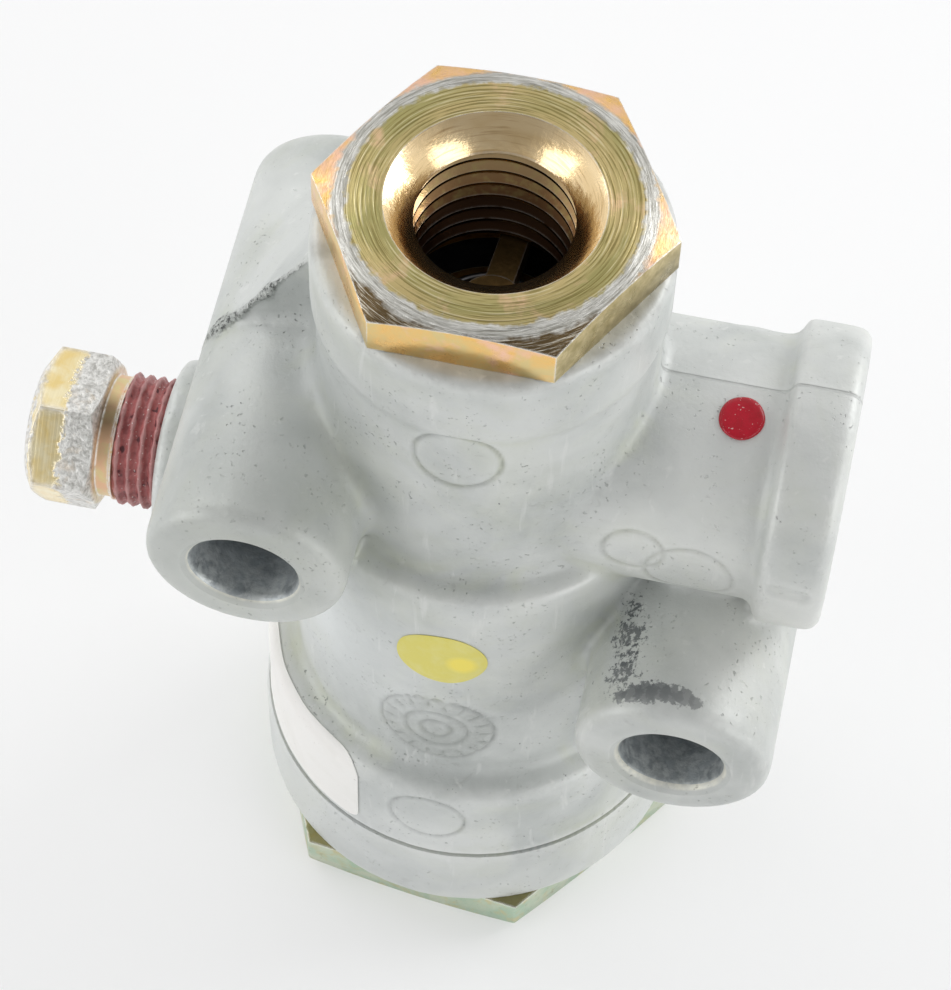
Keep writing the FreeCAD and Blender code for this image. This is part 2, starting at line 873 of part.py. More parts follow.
# Exhaust flap, its washer and the rivet that holds both under the cap's floor
flap_low = cap_floor_low - diaphragm_thickness
washer_low = flap_low - diaphragm_washer_thickness
rivet_low = washer_low - rivet_head_height
washer("exhaust_flap", rivet_radius + running_gap, diaphragm_radius, flap_low, diaphragm_thickness)
washer(
    "flap_washer",
    rivet_radius + running_gap,
    diaphragm_washer_radius,
    washer_low,
    diaphragm_washer_thickness,
)
turned(
    "flap_rivet",
    [
        (0, rivet_low),
        (rivet_head_radius, rivet_low),
        (rivet_head_radius, washer_low),
        (rivet_radius, washer_low),
        (rivet_radius, cap_floor_top),
        (rivet_head_radius, cap_floor_top),
        (rivet_head_radius, cap_floor_top + rivet_head_height),
        (0, cap_floor_top + rivet_head_height),
    ],
)


def lay_on_plug_port(body):
    """Points a piece built up +Z out of the left side port, from the port's face."""
    body.Placement.Rotation = FreeCAD.Rotation(FreeCAD.Vector(0, 1, 0), -90)
    bind(body, ".Placement.Base.x", -plug_port_reach)
    bind(body, ".Placement.Base.z", plug_height)


# Plug in the left side port, with dried sealant on its thread
body = new_body("port_plug")
head_low = plug_shank_length
chamfered_hexagon(
    body,
    "plug_hexagon",
    plug_head_flats,
    head_low,
    head_low + plug_head_length,
    plug_head_turn,
    [(plug_head_flats / 2 - plug_head_face_margin, plug_head_chamfer_slope, True)],
)
revolve(
    body,
    "plug_shank",
    [
        (0, -plug_engagement),
        (shank_radius, -plug_engagement),
        (shank_radius, head_low),
        (0, head_low),
    ],
)
lay_on_plug_port(body)
sealant_length = plug_shank_length - plug_neck_length
lay_on_plug_port(
    washer(
        "plug_sealant",
        shank_radius + thread_gap / 2,
        shank_radius + sealant_thickness,
        running_gap,
        sealant_length,
    )
)

# Label bent round the left of the flange
label_inner = flange_radius + thread_gap
label_low = ring_top + label_low_gap
label_high = flange_top - flange_round - label_high_gap
body = new_body("label")
label_ring = revolve(
    body,
    "label_band",
    [
        (label_inner, label_low),
        (label_inner + label_thickness, label_low),
        (label_inner + label_thickness, label_high),
        (label_inner, label_high),
    ],
)
bind(label_ring, "Angle", label_sweep)
bind(body, ".Placement.Rotation.Angle", label_start)

doc.recompute()
for item in doc.Objects:
    if "Invalid" in item.State or "Error" in item.State:
        raise RuntimeError(f"{item.Name} failed: {item.State}")
for part in parts:
    if part.Shape.isNull() or not part.Shape.isValid() or part.Shape.Volume <= 0:
        raise RuntimeError(f"{part.Label} has no sound shape")
    if len(part.Shape.Solids) != 1:
        raise RuntimeError(f"{part.Label} is not one solid")

os.makedirs("parts", exist_ok=True)
for part in parts:
    part.Shape.exportStep(f"parts/{part.Label}.step")
    box = part.Shape.BoundBox
    print(
        f"{part.Label:20s} {part.Shape.Volume:9.1f} mm3",
        f"x {box.XMin:7.2f} {box.XMax:7.2f}",
        f"y {box.YMin:7.2f} {box.YMax:7.2f}",
        f"z {box.ZMin:6.2f} {box.ZMax:6.2f}",
    )
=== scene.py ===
import json
import math

import bpy
import numpy as np
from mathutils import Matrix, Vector


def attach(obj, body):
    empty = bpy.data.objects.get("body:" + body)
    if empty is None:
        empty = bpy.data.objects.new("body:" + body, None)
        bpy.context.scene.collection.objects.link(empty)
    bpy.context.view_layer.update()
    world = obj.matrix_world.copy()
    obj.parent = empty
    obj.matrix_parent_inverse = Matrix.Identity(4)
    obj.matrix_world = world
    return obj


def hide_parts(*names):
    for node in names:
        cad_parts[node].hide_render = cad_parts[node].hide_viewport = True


bl_info = {
    "name": "Pressure Reducing Valve",
    "version": (1, 0, 0),
    "blender": (4, 5, 0),
    "location": "View3D > Sidebar > Valve",
    "description": "Models and finishes a cast pressure reducing valve round its CAD frame",
    "category": "Object",
}

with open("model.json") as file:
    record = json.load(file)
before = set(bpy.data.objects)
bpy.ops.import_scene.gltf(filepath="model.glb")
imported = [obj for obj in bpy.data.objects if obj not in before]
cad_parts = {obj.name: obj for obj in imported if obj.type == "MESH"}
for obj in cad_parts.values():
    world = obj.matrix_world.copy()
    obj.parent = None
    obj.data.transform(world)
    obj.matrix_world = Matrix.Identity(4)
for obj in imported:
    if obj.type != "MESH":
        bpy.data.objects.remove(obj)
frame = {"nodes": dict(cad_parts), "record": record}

MM = 0.001
AXIS_TURNS = {
    "+X": (0, math.pi / 2, 0),
    "-X": (0, -math.pi / 2, 0),
    "-Y": (math.pi / 2, 0, 0),
    "+Z": (0, 0, 0),
}

# Where the bosses and the side ports lie, and how far each boss reaches, in millimetres
LEFT_BOSS = (-14.27, 0, 51.91)
RIGHT_BOSS = (18.09, 0, 37.04)
BOSSES = {"left_boss": (LEFT_BOSS, 17.4), "right_boss": (RIGHT_BOSS, 18.1)}
BOSS_BACK = -17.9
DELIVERY_PORT = (0, 0, 51.84)
PLUG_PORT = (0, 0, 38.8)
PLUG_FACE = (-24.7, 0, 38.8)


# Modelling by hand: the steps that every piece shares


def let_go():
    """Leaves edit mode and selects nothing."""
    if bpy.context.object and bpy.context.object.mode != "OBJECT":
        bpy.ops.object.mode_set(mode="OBJECT")
    bpy.ops.object.select_all(action="DESELECT")


def hold(piece):
    """Selects one piece alone."""
    let_go()
    bpy.context.view_layer.objects.active = piece
    piece.select_set(True)


def added(name):
    """The primitive that was just added, under its name."""
    piece = bpy.context.object
    piece.name = piece.data.name = name
    return piece


def settle(piece):
    """Puts a piece's place and turn into its mesh."""
    hold(piece)
    bpy.ops.object.transform_apply(location=True, rotation=True, scale=True)
    return piece


def lay(piece, axis, place):
    """Points a piece built up +Z along an axis, from a place in millimetres."""
    piece.rotation_euler = AXIS_TURNS[axis]
    piece.location = Vector(place) * MM
    return settle(piece)


def work(piece, kind, **settings):
    """Adds a modifier and applies it."""
    hold(piece)
    modifier = piece.modifiers.new(kind.lower(), kind)
    for name, value in settings.items():
        setattr(modifier, name, value)
    bpy.ops.object.modifier_apply(modifier=modifier.name)
    return piece


def combine(piece, tool, operation="DIFFERENCE"):
    """Cuts a tool from a piece, joins it on or keeps what both share."""
    work(piece, "BOOLEAN", object=tool, operation=operation, solver="MANIFOLD")
    bpy.data.objects.remove(tool)
    return piece


def clean(piece):
    """Merges doubles and turns every face outwards."""
    hold(piece)
    bpy.ops.object.mode_set(mode="EDIT")
    bpy.ops.mesh.select_all(action="SELECT")
    bpy.ops.mesh.remove_doubles(threshold=0.001 * MM)
    bpy.ops.mesh.normals_make_consistent(inside=False)
    bpy.ops.object.mode_set(mode="OBJECT")
    return piece


def arc(radius, height, size, start, end, steps=6):
    """Points of an arc in a turned outline, in millimetres and degrees."""
    turns = np.radians(np.linspace(start, end, steps + 1))
    return [(radius + size * math.cos(turn), height + size * math.sin(turn)) for turn in turns]


def lathe(name, outline, sides=128, ring=False):
    """Turns an outline of (radius, height) points in millimetres: a circle is extruded along it."""
    let_go()
    radius, height = outline[0]
    bpy.ops.mesh.primitive_circle_add(
        vertices=sides,
        radius=radius * MM,
        fill_type="NOTHING" if ring else "NGON",
        location=(0, 0, height * MM),
    )
    piece = settle(added(name))
    bpy.ops.object.mode_set(mode="EDIT")
    bpy.ops.mesh.select_all(action="SELECT")
    for next_radius, next_height in list(outline[1:]) + (list(outline[:1]) if ring else []):
        rise = (next_height - height) * MM
        bpy.ops.mesh.extrude_region_move(TRANSFORM_OT_translate={"value": (0, 0, rise)})
        growth = next_radius / radius
        bpy.ops.transform.resize(value=(growth, growth, 1), center_override=(0, 0, next_height * MM))
        radius, height = next_radius, next_height
    bpy.ops.object.mode_set(mode="OBJECT")
    return clean(piece)


def thread(name, root, crest, pitch, low, high):
    """A threaded rod in millimetres: one turn of its profile is screwed up Z, then cut to length."""
    let_go()
    start = low - pitch
    profile = [(root, 0), (root, 0.1), (crest, 0.44), (crest, 0.56), (root, 0.9), (root, 1)]
    bpy.ops.mesh.primitive_plane_add(size=MM, location=(root * MM, 0, start * MM))
    piece = settle(added(name))
    bpy.ops.object.mode_set(mode="EDIT")
    bpy.ops.mesh.select_all(action="SELECT")
    bpy.ops.mesh.merge(type="CENTER")
    for (radius, part), (next_radius, next_part) in zip(profile, profile[1:]):
        step = ((next_radius - radius) * MM, 0, (next_part - part) * pitch * MM)
        bpy.ops.mesh.extrude_vertices_move(TRANSFORM_OT_translate={"value": step})
    bpy.ops.object.mode_set(mode="OBJECT")
    work(
        piece,
        "SCREW",
        screw_offset=pitch * MM,
        iterations=math.ceil((high - low) / pitch) + 2,
        steps=96,
        render_steps=96,
        use_merge_vertices=True,
        merge_threshold=0.001 * MM,
    )
    clean(piece)
    for height, side in ((low, "clear_inner"), (high, "clear_outer")):
        bpy.ops.object.mode_set(mode="EDIT")
        bpy.ops.mesh.select_all(action="SELECT")
        bpy.ops.mesh.bisect(
            plane_co=(0, 0, height * MM),
            plane_no=(0, 0, 1),
            use_fill=True,
            threshold=0.0001 * MM,
            **{side: True},
        )
        bpy.ops.object.mode_set(mode="OBJECT")
    return clean(piece)


def hexagon(name, flats, low, high, turn, face_margin, slope, at_top):
    """A hexagon with its corners turned off at one end, in millimetres and degrees."""
    let_go()
    corner = flats / math.sqrt(3)
    bpy.ops.mesh.primitive_cylinder_add(
        vertices=6,
        radius=corner * MM,
        depth=(high - low) * MM,
        location=(0, 0, (low + high) / 2 * MM),
        rotation=(0, 0, math.radians(turn + 30)),
    )
    piece = settle(added(name))
    face = flats / 2 - face_margin
    outside = corner + 1
    drop = (outside - face) * slope
    if at_top:
        outline = [(outside, low - 1), (outside, high - drop), (face, high)]
    else:
        outline = [(face, low), (outside, low + drop), (outside, high + 1)]
    return combine(piece, lathe(name + "_turning", outline, 192), "INTERSECT")


def pick(piece, chosen):
    """Enters edit mode with the chosen points selected alone."""
    hold(piece)
    bpy.ops.object.mode_set(mode="EDIT")
    bpy.ops.mesh.select_mode(type="VERT")
    bpy.ops.mesh.select_all(action="DESELECT")
    bpy.ops.object.mode_set(mode="OBJECT")
    piece.data.vertices.foreach_set("select", np.asarray(chosen, bool))
    bpy.ops.object.mode_set(mode="EDIT")


def soften(piece, width, segments=2, angle=30):
    """Breaks a piece's sharp edges."""
    return work(
        piece,
        "BEVEL",
        width=width * MM,
        segments=segments,
        limit_method="ANGLE",
        angle_limit=math.radians(angle),
        harden_normals=False,
    )


def smooth(piece, angle=35):
    hold(piece)
    bpy.ops.object.shade_smooth_by_angle(angle=math.radians(angle))
    return piece


def points_of(piece):
    """A mesh's points in millimetres."""
    places = np.zeros(len(piece.data.vertices) * 3)
    piece.data.vertices.foreach_get("co", places)
    return places.reshape(-1, 3) / MM


def edge_ends(piece):
    ends = np.zeros(len(piece.data.edges) * 2, int)
    piece.data.edges.foreach_get("vertices", ends)
    return ends.reshape(-1, 2)


def spread(ends, values, rounds):
    """Averages a value over neighbouring points."""
    count = np.bincount(ends.ravel(), minlength=len(values)) + 1
    for _ in range(rounds):
        total = values.copy()
        np.add.at(total, ends[:, 0], values[ends[:, 1]])
        np.add.at(total, ends[:, 1], values[ends[:, 0]])
        values = total / count
    return values


def bend_of(piece):
    """How far each point lies below its neighbours along its normal: hollow is above 0, crest below."""
    places = points_of(piece)
    normals = np.zeros(len(places) * 3)
    piece.data.vertices.foreach_get("normal", normals)
    normals = normals.reshape(-1, 3)
    ends = edge_ends(piece)
    first, second = ends.T
    along = places[second] - places[first]
    along /= np.maximum(np.linalg.norm(along, axis=1), 1e-6)[:, None]
    bend = np.zeros(len(places))
    np.add.at(bend, first, (along * normals[first]).sum(1))
    np.add.at(bend, second, -(along * normals[second]).sum(1))
    return bend / np.maximum(np.bincount(ends.ravel(), minlength=len(places)), 1)


def weigh(piece, name, weights):
    """Makes a vertex group from an array of weights."""
    group = piece.vertex_groups.new(name=name)
    levels = np.round(np.clip(weights, 0, 1) * 50).astype(int)
    for level in range(1, 51):
        chosen = np.flatnonzero(levels == level)
        if len(chosen):
            group.add(chosen.tolist(), level / 50, "REPLACE")
    return group.name


def relax(piece, weights, rounds):
    """Smooths the points that have weight."""
    group = weigh(piece, "relaxed", weights)
    work(piece, "SMOOTH", factor=0.5, iterations=rounds, vertex_group=group)
    piece.vertex_groups.clear()


def raise_points(piece, rise):
    """Moves points out along their normals by an array of millimetres."""
    for name, sign in (("raised", 1), ("sunk", -1)):
        part = np.clip(rise * sign, 0, None)
        if part.max() <= 0:
            continue
        group = weigh(piece, name, part / part.max())
        work(
            piece,
            "DISPLACE",
            strength=float(part.max()) * sign * MM,
            mid_level=0,
            direction="NORMAL",
            vertex_group=group,
        )
        piece.vertex_groups.clear()


def bump_of(distance, width):
    return np.exp(-((distance / width) ** 2))


def step_of(distance, limit, softness):
    """1 inside the limit, 0 outside it."""
    return 1 / (1 + np.exp(np.clip((distance - limit) / softness, -50, 50)))


def from_point(places, point):
    return np.linalg.norm(places - np.array(point), axis=1)


def from_line(places, points):
    """Distance to a line of several runs."""
    best = np.full(len(places), 1e9)
    for start, end in zip(points, points[1:]):
        start, end = np.array(start, float), np.array(end, float)
        run = end - start
        part = np.clip(((places - start) @ run) / (run @ run), 0, 1)
        best = np.minimum(best, np.linalg.norm(places - start - part[:, None] * run, axis=1))
    return best


def record_value(piece, name, values):
    """Keeps an array on the mesh for its material to read."""
    layer = piece.data.attributes.new(name, "FLOAT", "POINT")
    layer.data.foreach_set("value", np.asarray(values, np.float32))


def record_edges(piece, rounds=2):
    """Keeps how sharp the crests are and how deep the hollows are; the casting's finish paints its crests
    paler as wear and as painted highlight, and its hollows darker as painted shade.
    """
    bend = spread(edge_ends(piece), bend_of(piece), rounds)
    record_value(piece, "crest", np.clip(-bend * 6, 0, 1))
    record_value(piece, "hollow", np.clip(bend * 6, 0, 1))


# Finishes


class Finish:
    """A procedural material while it is wired."""

    def __init__(self, name):
        self.material = bpy.data.materials.new(name)
        self.material.use_nodes = True
        self.tree = self.material.node_tree
        self.shader = self.tree.nodes["Principled BSDF"]
        self.place = self.add("ShaderNodeTexCoord").outputs["Object"]

    def add(self, kind, settings=None, inputs=None):
        node = self.tree.nodes.new(kind)
        for name, value in (settings or {}).items():
            setattr(node, name, value)
        for name, value in (inputs or {}).items():
            self.give(node.inputs[name], value)
        return node

    def give(self, socket, value):
        if isinstance(value, bpy.types.NodeSocket):
            self.tree.links.new(value, socket)
        elif socket.type == "RGBA":
            socket.default_value = (*tuple(value)[:3], 1)
        else:
            socket.default_value = value

    def set(self, **inputs):
        for name, value in inputs.items():
            self.give(self.shader.inputs[name.replace("_", " ")], value)
        return self.material

    def sum(self, operation, first, second=0.0, third=0.0, clamp=False):
        settings = {"operation": operation, "use_clamp": clamp}
        return self.add("ShaderNodeMath", settings, {0: first, 1: second, 2: third}).outputs[0]

    def noise(self, size, detail=3.0, roughness=0.55, warp=0.0, place=None):
        """Soft blotches of about a size in millimetres, from 0 to 1."""
        inputs = {
            "Vector": place or self.place,
            "Scale": 1 / (size * MM) if place is None else 1 / size,
            "Detail": detail,
            "Roughness": roughness,
            "Distortion": warp,
        }
        return self.add("ShaderNodeTexNoise", {}, inputs).outputs["Fac"]

    def between(self, value, low, high, bottom=0.0, top=1.0):
        """Spreads a range of a value over another, held at its ends."""
        inputs = {"Value": value, "From Min": low, "From Max": high, "To Min": bottom, "To Max": top}
        return self.add("ShaderNodeMapRange", {"clamp": True}, inputs).outputs[0]

    def mix(self, factor, first, second):
        node = self.add("ShaderNodeMix", {"data_type": "RGBA"}, {"Factor": factor})
        self.give(node.inputs[6], first)
        self.give(node.inputs[7], second)
        return node.outputs[2]

    def blend(self, factor, first, second):
        return self.add(
            "ShaderNodeMix", {"data_type": "FLOAT"}, {"Factor": factor, 2: first, 3: second}
        ).outputs[0]

    def kept(self, name):
        """A value kept on the mesh."""
        return self.add("ShaderNodeAttribute", {"attribute_name": name}).outputs["Fac"]

    def edge(self, width):
        """Sharp edges, by how far a bevelled normal turns from the real one."""
        bevel = self.add("ShaderNodeBevel", {"samples": 6}, {"Radius": width * MM}).outputs[0]
        normal = self.add("ShaderNodeNewGeometry").outputs["Normal"]
        along = self.add("ShaderNodeVectorMath", {"operation": "DOT_PRODUCT"}, {0: bevel, 1: normal})
        return self.between(along.outputs["Value"], 0.995, 0.93)

    def facing(self, axis):
        """A component of the surface's own direction."""
        geometry = self.add("ShaderNodeNewGeometry").outputs["Normal"]
        return self.add("ShaderNodeSeparateXYZ", {}, {0: geometry}).outputs[axis]

    def near_point(self, point, size, softness=0.3):
        """1 near a point in millimetres, with a soft border."""
        away = self.add(
            "ShaderNodeVectorMath",
            {"operation": "DISTANCE"},
            {0: self.place, 1: tuple(Vector(point) * MM)},
        ).outputs["Value"]
        return self.between(away, size * (1 + softness) * MM, size * (1 - softness) * MM)

    def around(self):
        """Distance from the Z axis in millimetres, the turn about it and the height."""
        split = self.add("ShaderNodeSeparateXYZ", {}, {0: self.place}).outputs
        flat = self.add("ShaderNodeCombineXYZ", {}, {0: split[0], 1: split[1]}).outputs[0]
        away = self.add("ShaderNodeVectorMath", {"operation": "LENGTH"}, {0: flat}).outputs["Value"]
        turn = self.sum("ARCTAN2", split[1], split[0])
        return self.sum("DIVIDE", away, MM), turn, self.sum("DIVIDE", split[2], MM)

    def relief(self, height, depth, normal=None):
        """Bump of a depth in millimetres."""
        inputs = {"Height": height, "Distance": depth * MM, "Strength": 1.0}
        if normal:
            inputs["Normal"] = normal
        return self.add("ShaderNodeBump", {}, inputs).outputs["Normal"]


def scuffed(f, colour, stain):
    """Adds the dark scuffs of the bosses."""
    ragged = f.noise(0.5, 5, 0.7, 0.3)
    for point, size, solid in SCUFFS:
        scuff = f.sum("ADD", f.sum("MULTIPLY", f.near_point(point, size, 0.6), solid), ragged)
        colour = f.mix(f.between(scuff, 0.70, 0.77, 0.0, 0.85), colour, stain)
    return colour


def grooved(f, colour, joint, fine):
    """Darkens the grooves of the mould's marks and the dial."""
    groove = f.sum("MAXIMUM", f.kept("marks"), f.sum("MULTIPLY", joint, 0.8))
    groove = f.sum("MULTIPLY", groove, f.between(f.noise(1.3, 2, 0.5), 0.35, 0.6, 0.3, 1.0))
    colour = f.mix(f.sum("MULTIPLY", groove, 0.5), colour, (0.20, 0.21, 0.20))
    dial = f.sum("MULTIPLY", f.near_point(DIAL_MARK, 4.4, 0.05), f.between(fine, 0.35, 0.6, 0.2, 0.55))
    return f.mix(dial, colour, (0.33, 0.35, 0.33))


def add_tones_and_painted_light(f, colour, fine):
    """Adds the broad darker areas, the broad paler areas of painted light, and a painted highlight on the
    lips of the mounting holes.
    """
    # The paler rows of this table are painted light.
    for point, size, strength, shade in TONES_AND_PAINTED_LIGHT:
        colour = f.mix(f.sum("MULTIPLY", f.near_point(point, size, 0.9), strength), colour, shade)
    split = f.add("ShaderNodeSeparateXYZ", {}, {0: f.place}).outputs
    for x, _, z in (LEFT_BOSS, RIGHT_BOSS):
        inputs = {0: f.sum("SUBTRACT", split[0], x * MM), 1: f.sum("SUBTRACT", split[2], z * MM)}
        flat = f.add("ShaderNodeCombineXYZ", {}, inputs).outputs[0]
        out = f.add("ShaderNodeVectorMath", {"operation": "LENGTH"}, {0: flat}).outputs["Value"]
        # Painted highlight: a thin bright ring round each mounting hole at its rounded lip.
        painted_lip_highlight = f.between(f.sum("ABSOLUTE", f.sum("SUBTRACT", out, 4.08 * MM)), 0.22 * MM, 0.1 * MM)
        painted_lip_highlight = f.sum("MULTIPLY", painted_lip_highlight, f.between(fine, 0.3, 0.6, 0.2, 0.9))
        colour = f.mix(painted_lip_highlight, colour, (0.82, 0.81, 0.71))
    return colour


def flashed(f, colour, flash, speckle):
    """Roughens the web's flash with dark and bright speckles."""
    colour = f.mix(f.sum("MULTIPLY", flash, 0.65), colour, (0.34, 0.36, 0.34))
    dark = f.sum("MULTIPLY", flash, f.between(speckle, 0.5, 0.4))
    colour = f.mix(dark, colour, (0.08, 0.085, 0.08))
    bright = f.sum("MULTIPLY", flash, f.between(speckle, 0.6, 0.68))
    return f.mix(bright, colour, (0.72, 0.74, 0.71))


def cast_finish(colours):
    """Pale grey casting with soft mottle, a few pits, tinted hollows that are also painted darker as shade,
    stains, painted shade under the hexagon, and crests painted bright, partly as wear and partly as painted
    highlight.
    """
    f = Finish("cast_body")
    height = f.around()[2]
    broad = f.noise(9, 3, 0.5, 0.3)
    fine = f.noise(1.1, 4, 0.65)
    hollow = f.kept("hollow")
    colour = f.mix(f.between(broad, 0.38, 0.62), colours.cast_dark, colours.cast_pale)
    colour = f.mix(f.between(fine, 0.3, 0.75, 0.0, 0.3), colour, (0.70, 0.72, 0.70))
    tint = f.between(f.noise(8, 3, 0.6, 0.8), 0.46, 0.66)
    tint = f.sum("MULTIPLY", tint, f.between(hollow, 0.0, 0.25, 0.3, 1.0))
    colour = f.mix(f.sum("MULTIPLY", tint, 0.5), colour, colours.cast_tint)
    colour = scuffed(f, colour, colours.cast_stain)
    # Just under the hexagon the collar is darkened in smeared patches: partly a stain, partly a painted
    # contact shadow of the top cap.
    smear_and_painted_shade = f.between(f.noise(3.0, 2, 0.5, 0.3), 0.42, 0.62, 0.0, 0.55)
    under_hexagon = f.between(height, 73.3, 74.2)
    colour = f.mix(f.sum("MULTIPLY", under_hexagon, smear_and_painted_shade), colour, (0.26, 0.26, 0.23))
    smudge = f.sum("MULTIPLY", f.between(f.noise(1.7, 5, 0.7, 1.2), 0.6, 0.74), f.between(broad, 0.6, 0.4))
    colour = f.mix(f.sum("MULTIPLY", smudge, 0.6), colour, (0.33, 0.34, 0.32))
    streak = f.add("ShaderNodeVectorMath", {"operation": "MULTIPLY"}, {0: f.place, 1: (1.0, 1.0, 0.12)})
    rubbed = f.between(f.noise(0.001, 3, 0.6, 0.4, streak.outputs[0]), 0.62, 0.72, 0.0, 0.45)
    colour = f.mix(rubbed, colour, (0.78, 0.79, 0.77))
    pits = f.between(f.noise(0.32, 2, 0.5), 0.34, 0.27)
    pits = f.sum("MULTIPLY", pits, f.between(f.noise(4, 2, 0.5), 0.42, 0.62))
    colour = f.mix(f.sum("MULTIPLY", pits, 0.6), colour, (0.24, 0.26, 0.25))
    # Painted shade: the hollows are darkened.
    colour = f.mix(f.sum("MULTIPLY", hollow, 0.45), colour, (0.32, 0.34, 0.33))
    # Crests painted paler: partly wear, partly painted highlight.
    bright_edge = f.sum("MULTIPLY", f.kept("crest"), f.between(fine, 0.3, 0.65, 0.55, 1.0))
    colour = f.mix(f.sum("MULTIPLY", bright_edge, 0.75), colour, (0.80, 0.81, 0.79))
    split = f.add("ShaderNodeSeparateXYZ", {}, {0: f.place}).outputs
    joint = f.between(f.sum("ABSOLUTE", split[1]), 0.16 * MM, 0.04 * MM)
    joint = f.sum("MULTIPLY", joint, f.between(split[0], 9 * MM, 10 * MM))
    flash = f.kept("flash")
    speckle = f.noise(0.3, 3, 0.6)
    colour = add_tones_and_painted_light(f, grooved(f, colour, joint, fine), fine)
    colour = flashed(f, colour, flash, speckle)
    normal = f.relief(f.noise(0.5, 4, 0.6), 0.04)
    normal = f.relief(f.noise(2.5, 3, 0.5), 0.06, normal)
    normal = f.relief(f.sum("SUBTRACT", 1.0, f.sum("MAXIMUM", pits, joint)), 0.08, normal)
    normal = f.relief(f.sum("MULTIPLY", speckle, flash), 0.25, normal)
    rough = f.blend(bright_edge, f.between(fine, 0.2, 0.8, 0.42, 0.58), 0.32)
    return f.set(Base_Color=colour, Roughness=rough, Metallic=0.2, Normal=normal)


def bore_finish():
    """Machined and cored holes of the casting: painted darker inside as shade, near black in the valve
    chamber, and paler in patches towards the mouths as painted light.
    """
    f = Finish("cast_bores")
    across = f.add("ShaderNodeSeparateXYZ", {}, {0: f.place}).outputs[1]
    depth = f.sum("ABSOLUTE", f.sum("DIVIDE", across, MM))
    broad = f.noise(2.2, 4, 0.6, 0.4)
    # Painted shade: the bores are coloured darker than the outside of the casting.
    colour = f.mix(f.between(broad, 0.35, 0.65), (0.22, 0.24, 0.26), (0.44, 0.48, 0.50))
    away, _, height = f.around()
    # Painted shade: the valve chamber above the seat is near black.
    painted_chamber_shade = f.sum("MULTIPLY", f.between(away, 9.8, 9.4), f.between(height, 56.0, 57.0))
    colour = f.mix(f.sum("MULTIPLY", painted_chamber_shade, 0.8), colour, (0.04, 0.04, 0.045))
    small = f.noise(0.9, 4, 0.65, 0.3)
    # Painted light: patches paler towards the front and back ends of the bores, at the mounting holes'
    # mouths.
    mouth = f.sum("MULTIPLY", f.between(depth, 11.0, 16.5), f.between(small, 0.4, 0.6, 0.15, 0.9))
    colour = f.mix(mouth, colour, (0.62, 0.65, 0.64))
    normal = f.relief(f.noise(0.4, 3, 0.6), 0.04)
    normal = f.relief(broad, 0.08, normal)
    return f.set(
        Base_Color=colour, Roughness=f.between(broad, 0.2, 0.8, 0.3, 0.5), Metallic=0.45, Normal=normal
    )


